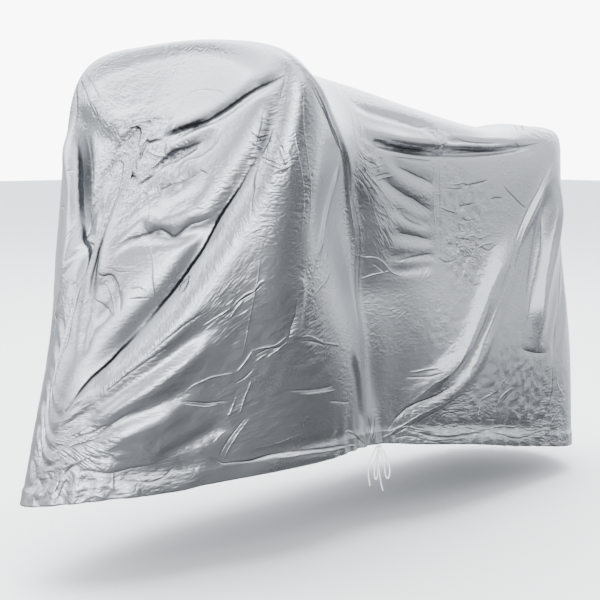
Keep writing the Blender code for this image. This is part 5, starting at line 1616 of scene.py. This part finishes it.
# Places are millimetres from the knot's middle: along +X, out of the side, and up. The first
# one, and a loop's last one, only give the direction in which the cord leaves the knot.
BOW = {
    "cord_end_left": (
        (-10, 0, -2), (-20, 3, -8), (-36, 6, -22), (-45, 6, -42), (-43, 4, -66), (-36, 3, -94),
    ),
    "cord_end_right": (
        (2, -3, -8), (2, -4, -24), (3, -3, -50), (6, -2, -76), (11, -1, -100), (17, -1, -118),
    ),
    "cord_loop_left": (
        (-8, 3, -5), (-17, 8, -20), (-27, 11, -42), (-30, 12, -62), (-25, 12, -77),
        (-17, 11, -72), (-14, 9, -50), (-9, 6, -26), (-3.5, 3, -7.5),
    ),
    "cord_loop_right": (
        (7.5, 3, -5), (15, 8, -20), (24, 12, -48), (27, 13, -68), (21, 13, -83),
        (13, 12, -75), (10, 10, -50), (6, 7, -27), (2.5, 3, -8),
    ),
}


@dataclass
class Bow:
    """The bow of cord: a knot, two loops and two free ends."""

    cord: float = 0.0040
    knot_size: Triple = (0.0100, 0.0060, 0.0080)
    knot_wind: Triple = (0.0026, -0.0028, 0.0020)
    knot_steps: int = 181
    cord_start: float = 0.0007
    sides: int = 16
    strands: int = 6
    strand_height: float = 0.07
    pitch: float = 0.010
    spacing: float = 1 / 6
    finish: bpy.types.Material | None = None
    pieces: dict[str, bpy.types.Object] = field(default_factory=dict)

    def _off_knot(self, toward: Array) -> Array:
        """Finds the place just off the knot's surface where a cord begins."""
        size = np.array(self.knot_size)
        place = toward / np.linalg.norm(toward / size)
        normal = place / size**2
        return place + self.cord_start * normal / np.linalg.norm(normal)

    @staticmethod
    def smooth_route(places: Array, spacing: float) -> Array:
        """Spreads places evenly on a smooth curve through the route's own places."""
        curve = smooth_through(places, 400)
        length = np.concatenate([[0], np.cumsum(np.linalg.norm(np.diff(curve, axis=0), axis=1))])
        even = np.linspace(0, length[-1], max(2, round(length[-1] / spacing)) + 1)
        return np.column_stack([np.interp(even, length, curve[:, k]) for k in range(3)])

    @staticmethod
    def _frame_along(path: Array) -> tuple[Array, Array]:
        """Works out two directions across a path that turn as little as they can along it."""
        run = unit(np.gradient(path, axis=0))
        side = np.zeros_like(path)
        side[0] = unit(np.cross(run[0], (0.0, 0.3, 1.0)))
        for i in range(1, len(path)):
            side[i] = unit(side[i - 1] - run[i] * (side[i - 1] @ run[i]))
        return side, np.cross(run, side)

    def braided_tube(self, name: str, path: Array, closed_ends: bool = True) -> bpy.types.Object:
        """Makes a tube of braided cord along a path.

        Args:
            name: the object's name.
            path: close places along its middle.
            closed_ends: whether the ends are rounded off.

        Returns:
            The tube's object.
        """
        side, over = self._frame_along(path)
        length = np.concatenate([[0], np.cumsum(np.linalg.norm(np.diff(path, axis=0), axis=1))])
        turn = np.linspace(0, 2 * np.pi, self.sides, endpoint=False)
        phase = 2 * np.pi * length[:, None] / self.pitch
        weave = np.sin(self.strands / 2 * turn + phase) * np.sin(self.strands / 2 * turn - phase)
        taper = np.ones(len(path))
        if closed_ends:
            near_end = np.minimum(length, length[-1] - length) / (self.cord / 2)
            taper = np.sqrt(np.clip(1 - (1 - np.clip(near_end, 0, 1)) ** 2, 0.04, 1))
        radius = self.cord / 2 * (1 - self.strand_height * (1 - weave)) * taper[:, None]
        ring = np.cos(turn)[None, :, None] * side[:, None] + np.sin(turn)[None, :, None] * over[:, None]
        places = (path[:, None] + radius[..., None] * ring).reshape(-1, 3)
        n = self.sides
        faces = []
        for i in range(len(path) - 1):
            for k in range(n):
                a, b = i * n + k, i * n + (k + 1) % n
                faces.append((a, b, b + n, a + n))
        faces.append(tuple(range(n))[::-1])
        faces.append(tuple(range(len(places) - n, len(places))))
        mesh = bpy.data.meshes.new(name)
        mesh.from_pydata(places.tolist(), [], faces)
        mesh.update()
        relief = (0.5 + 0.5 * weave).reshape(-1)
        mesh.attributes.new("relief", "FLOAT", "POINT").data.foreach_set("value", relief)
        mesh.shade_smooth()
        obj = bpy.data.objects.new(name, mesh)
        bpy.context.scene.collection.objects.link(obj)
        return obj

    def _dress(self, piece: bpy.types.Object, node: str) -> None:
        """Gives a piece its finish and sets it in the place of its node."""
        piece.data.materials.append(self.finish)
        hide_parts(node)
        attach(piece, "root")
        self.pieces[node] = piece

    def build_knot(self, middle: Array) -> None:
        """Winds the knot."""
        t = np.linspace(0, 2 * np.pi, self.knot_steps)
        trefoil = np.column_stack([
            np.sin(t) + 2 * np.sin(2 * t),
            np.sin(3 * t),
            np.cos(t) - 2 * np.cos(2 * t),
        ])
        path = trefoil * np.array(self.knot_wind) + middle
        self._dress(self.braided_tube("bow_knot", path, closed_ends=False), "knot")

    def build(self) -> None:
        """Makes the knot and the four stretches of cord where the part's solids lie."""
        low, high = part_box("knot")
        middle = (np.array(low) + np.array(high)) / 2
        self.finish = WhiteCord().make()
        self.build_knot(middle)
        for name, route in BOW.items():
            places = np.array(route, float) / 1000
            places[:, 1] *= -1
            loop = "loop" in name
            places[0] = self._off_knot(places[0])
            if loop:
                places[-1] = self._off_knot(places[-1])
            path = self.smooth_route(places + middle, self.cord * self.spacing)
            piece = self.braided_tube("bow_" + name, path)
            self._dress(piece, name)


# --------------------------------------------------------------------------- the studio


@dataclass(frozen=True)
class Wall:
    """How bright the studio is at one heading, from below the horizon to high up.

    Headings turn from +X towards +Y.
    """

    name: str
    heading: float
    below: float
    level: float
    above: float
    high: float


WALLS = (
    Wall("front gap", -180.0, 0.35, 0.7, 1.8, 1.2),
    Wall("left softbox edge", -164.0, 0.55, 2.6, 3.0, 1.6),
    Wall("left softbox", -149.0, 0.40, 3.0, 4.6, 1.6),
    Wall("bright softbox", -134.0, 0.35, 3.2, 8.0, 1.8),
    Wall("softbox edge", -119.0, 0.32, 1.2, 4.2, 2.0),
    Wall("dark side", -105.0, 0.34, 0.31, 0.4, 2.2),
    Wall("side", -90.0, 0.26, 0.11, 0.32, 2.4),
    Wall("side edge", -75.0, 0.2, 0.14, 0.32, 2.6),
    Wall("grey side", -60.0, 0.18, 0.3, 0.5, 2.8),
    Wall("pale side", -45.0, 0.14, 0.7, 1.15, 2.4),
    Wall("pale end", -30.0, 0.08, 0.8, 1.2, 1.5),
    Wall("dark end", -15.0, 0.12, 0.7, 1.1, 1.0),
    Wall("tail end", 0.0, 0.36, 1.7, 0.8, 0.8),
    Wall("backdrop edge", 16.0, 0.8, 2.0, 4.0, 2.0),
    Wall("bright backdrop", 32.0, 1.4, 4.8, 6.8, 3.4),
    Wall("backdrop", 52.0, 1.2, 2.4, 5.0, 4.6),
    Wall("far backdrop", 80.0, 0.8, 0.9, 3.0, 5.0),
    Wall("dark trees", 102.0, 0.5, 0.5, 1.2, 4.5),
    Wall("front backdrop", 124.0, 0.6, 0.9, 3.6, 4.2),
    Wall("front edge", 150.0, 0.2, 1.0, 2.2, 1.6),
    Wall("dark gap", 168.0, 0.2, 0.35, 0.6, 0.6),
    Wall("front gap again", 180.0, 0.35, 0.7, 1.8, 1.2),
)


@dataclass
class Studio:
    """The camera, the floor and the lights.

    The walls' brightness goes over from one height to the next between two heights, which are
    the sines of elevations.
    """

    ground: float
    camera_place: Triple = (-2.4358, -2.3973, 1.0011)
    azimuth: float = -44.21
    elevation: float = 6.93
    lens: float = 75.9
    sensor: float = 36.0
    floor_size: float = 60.0
    light_target: Triple = (0.0, 0.0, -0.45)
    heights: tuple[tuple[float, float], ...] = ((-0.28, -0.04), (0.06, 0.32), (0.40, 0.68))
    daylight: tuple[float, ...] = (0.90, 0.945, 1.0, 1.0)
    white: float = 9.0

    def camera(self, origin: Array) -> None:
        """Puts the camera at the photograph's angle."""
        data = bpy.data.cameras.new("camera")
        data.lens = self.lens
        data.sensor_width = self.sensor
        data.clip_end = self.floor_size
        obj = bpy.data.objects.new("camera", data)
        bpy.context.scene.collection.objects.link(obj)
        a, e = math.radians(self.azimuth), math.radians(self.elevation)
        back = Vector((math.sin(a) * math.cos(e), -math.cos(a) * math.cos(e), math.sin(e)))
        right = Vector((math.cos(a), math.sin(a), 0.0))
        axes = Matrix((right, back.cross(right), back)).transposed()
        obj.matrix_world = Matrix.Translation(Vector(self.camera_place) - Vector(origin)) @ axes.to_4x4()
        bpy.context.scene.camera = obj

    def floor(self) -> None:
        """Lays the plain pale floor."""
        bpy.ops.mesh.primitive_plane_add(size=self.floor_size, location=(0, 0, self.ground))
        obj = bpy.context.object
        obj.name = "studio_floor"
        obj.data.materials.append(StudioFloor().make())
        obj.visible_glossy = False

    def light(self, name: str, place: Triple, size: tuple[float, float], power: float) -> None:
        """Hangs one softbox that faces the cover and lights the floor, out of the film's sight."""
        data = bpy.data.lights.new(name, "AREA")
        data.shape = "RECTANGLE"
        data.size, data.size_y = size
        data.energy = power
        obj = bpy.data.objects.new(name, data)
        bpy.context.scene.collection.objects.link(obj)
        obj.location = place
        aim = Vector(self.light_target) - Vector(place)
        obj.rotation_euler = aim.to_track_quat("-Z", "Y").to_euler()
        obj.visible_glossy = False

    def build(self) -> None:
        """Sets up the floor and the lights."""
        self.floor()
        self.surroundings()
        self.light("key softbox", (-2.6, -3.4, 3.0), (1.6, 1.2), 30.0)
        self.light("overhead softbox", (0.0, 1.0, 6.0), (9.0, 9.0), 1700.0)

    def surroundings(self) -> None:
        """Lights the studio all round, brighter and darker by heading as the table says."""
        world = bpy.data.worlds.new("studio")
        bpy.context.scene.world = world
        world.use_nodes = True
        shop = NodeShop(world.node_tree)
        x, y, z = shop.split(shop.coordinates("Generated"))
        turn = shop.node("ShaderNodeMath", {"operation": "ARCTAN2"}, y, x) / (2 * math.pi) + 0.5
        rings = [self._ring(shop, turn, key) for key in ("below", "level", "above", "high")]
        light = rings[0]
        for ring, (low, high) in zip(rings[1:], self.heights):
            light = light + (ring - light) * z.ramp(low, high)
        mirrored = shop.node("ShaderNodeBackground", {}, self.daylight, light)
        seen = shop.node("ShaderNodeBackground", {}, (1.0, 1.0, 1.0, 1.0), self.white)
        to_camera = shop.node("ShaderNodeLightPath", {}, out="Is Camera Ray")
        mixed = shop.node("ShaderNodeMixShader", {}, to_camera, mirrored, seen)
        shop.feed(shop.tree.nodes["World Output"].inputs["Surface"], mixed)

    @staticmethod
    def _ring(shop: NodeShop, turn: Socket, key: str) -> Socket:
        """Reads the brightness all round at one height."""
        levels = [getattr(wall, key) for wall in WALLS]
        highest = max(levels)
        ring = shop.node("ShaderNodeValToRGB", {}, turn)
        ramp = ring.link.node.color_ramp
        ramp.interpolation = "B_SPLINE"
        while len(ramp.elements) < len(WALLS):
            ramp.elements.new(0.5)
        for stop, wall, level in zip(ramp.elements, WALLS, levels):
            stop.position = wall.heading / 360.0 + 0.5
            stop.color = (*[level / highest] * 3, 1.0)
        return ring * highest


def main() -> None:
    """Builds and dresses the cover, piece by piece."""
    logging.basicConfig(level=logging.INFO, format="%(name)s: %(message)s")
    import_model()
    chart = Chart()
    studio = Studio(ground=-float(chart.origin[2]))
    studio.camera(chart.origin)
    bow = Bow()
    bow.build()
    LOG.info("bow: %d pieces", len(bow.pieces))
    cover = FilmCover(chart)
    film = cover.build()
    cover.dress()
    LOG.info("film: %d faces", len(film.data.polygons))
    studio.build()


if __name__ == "__main__":
    main()
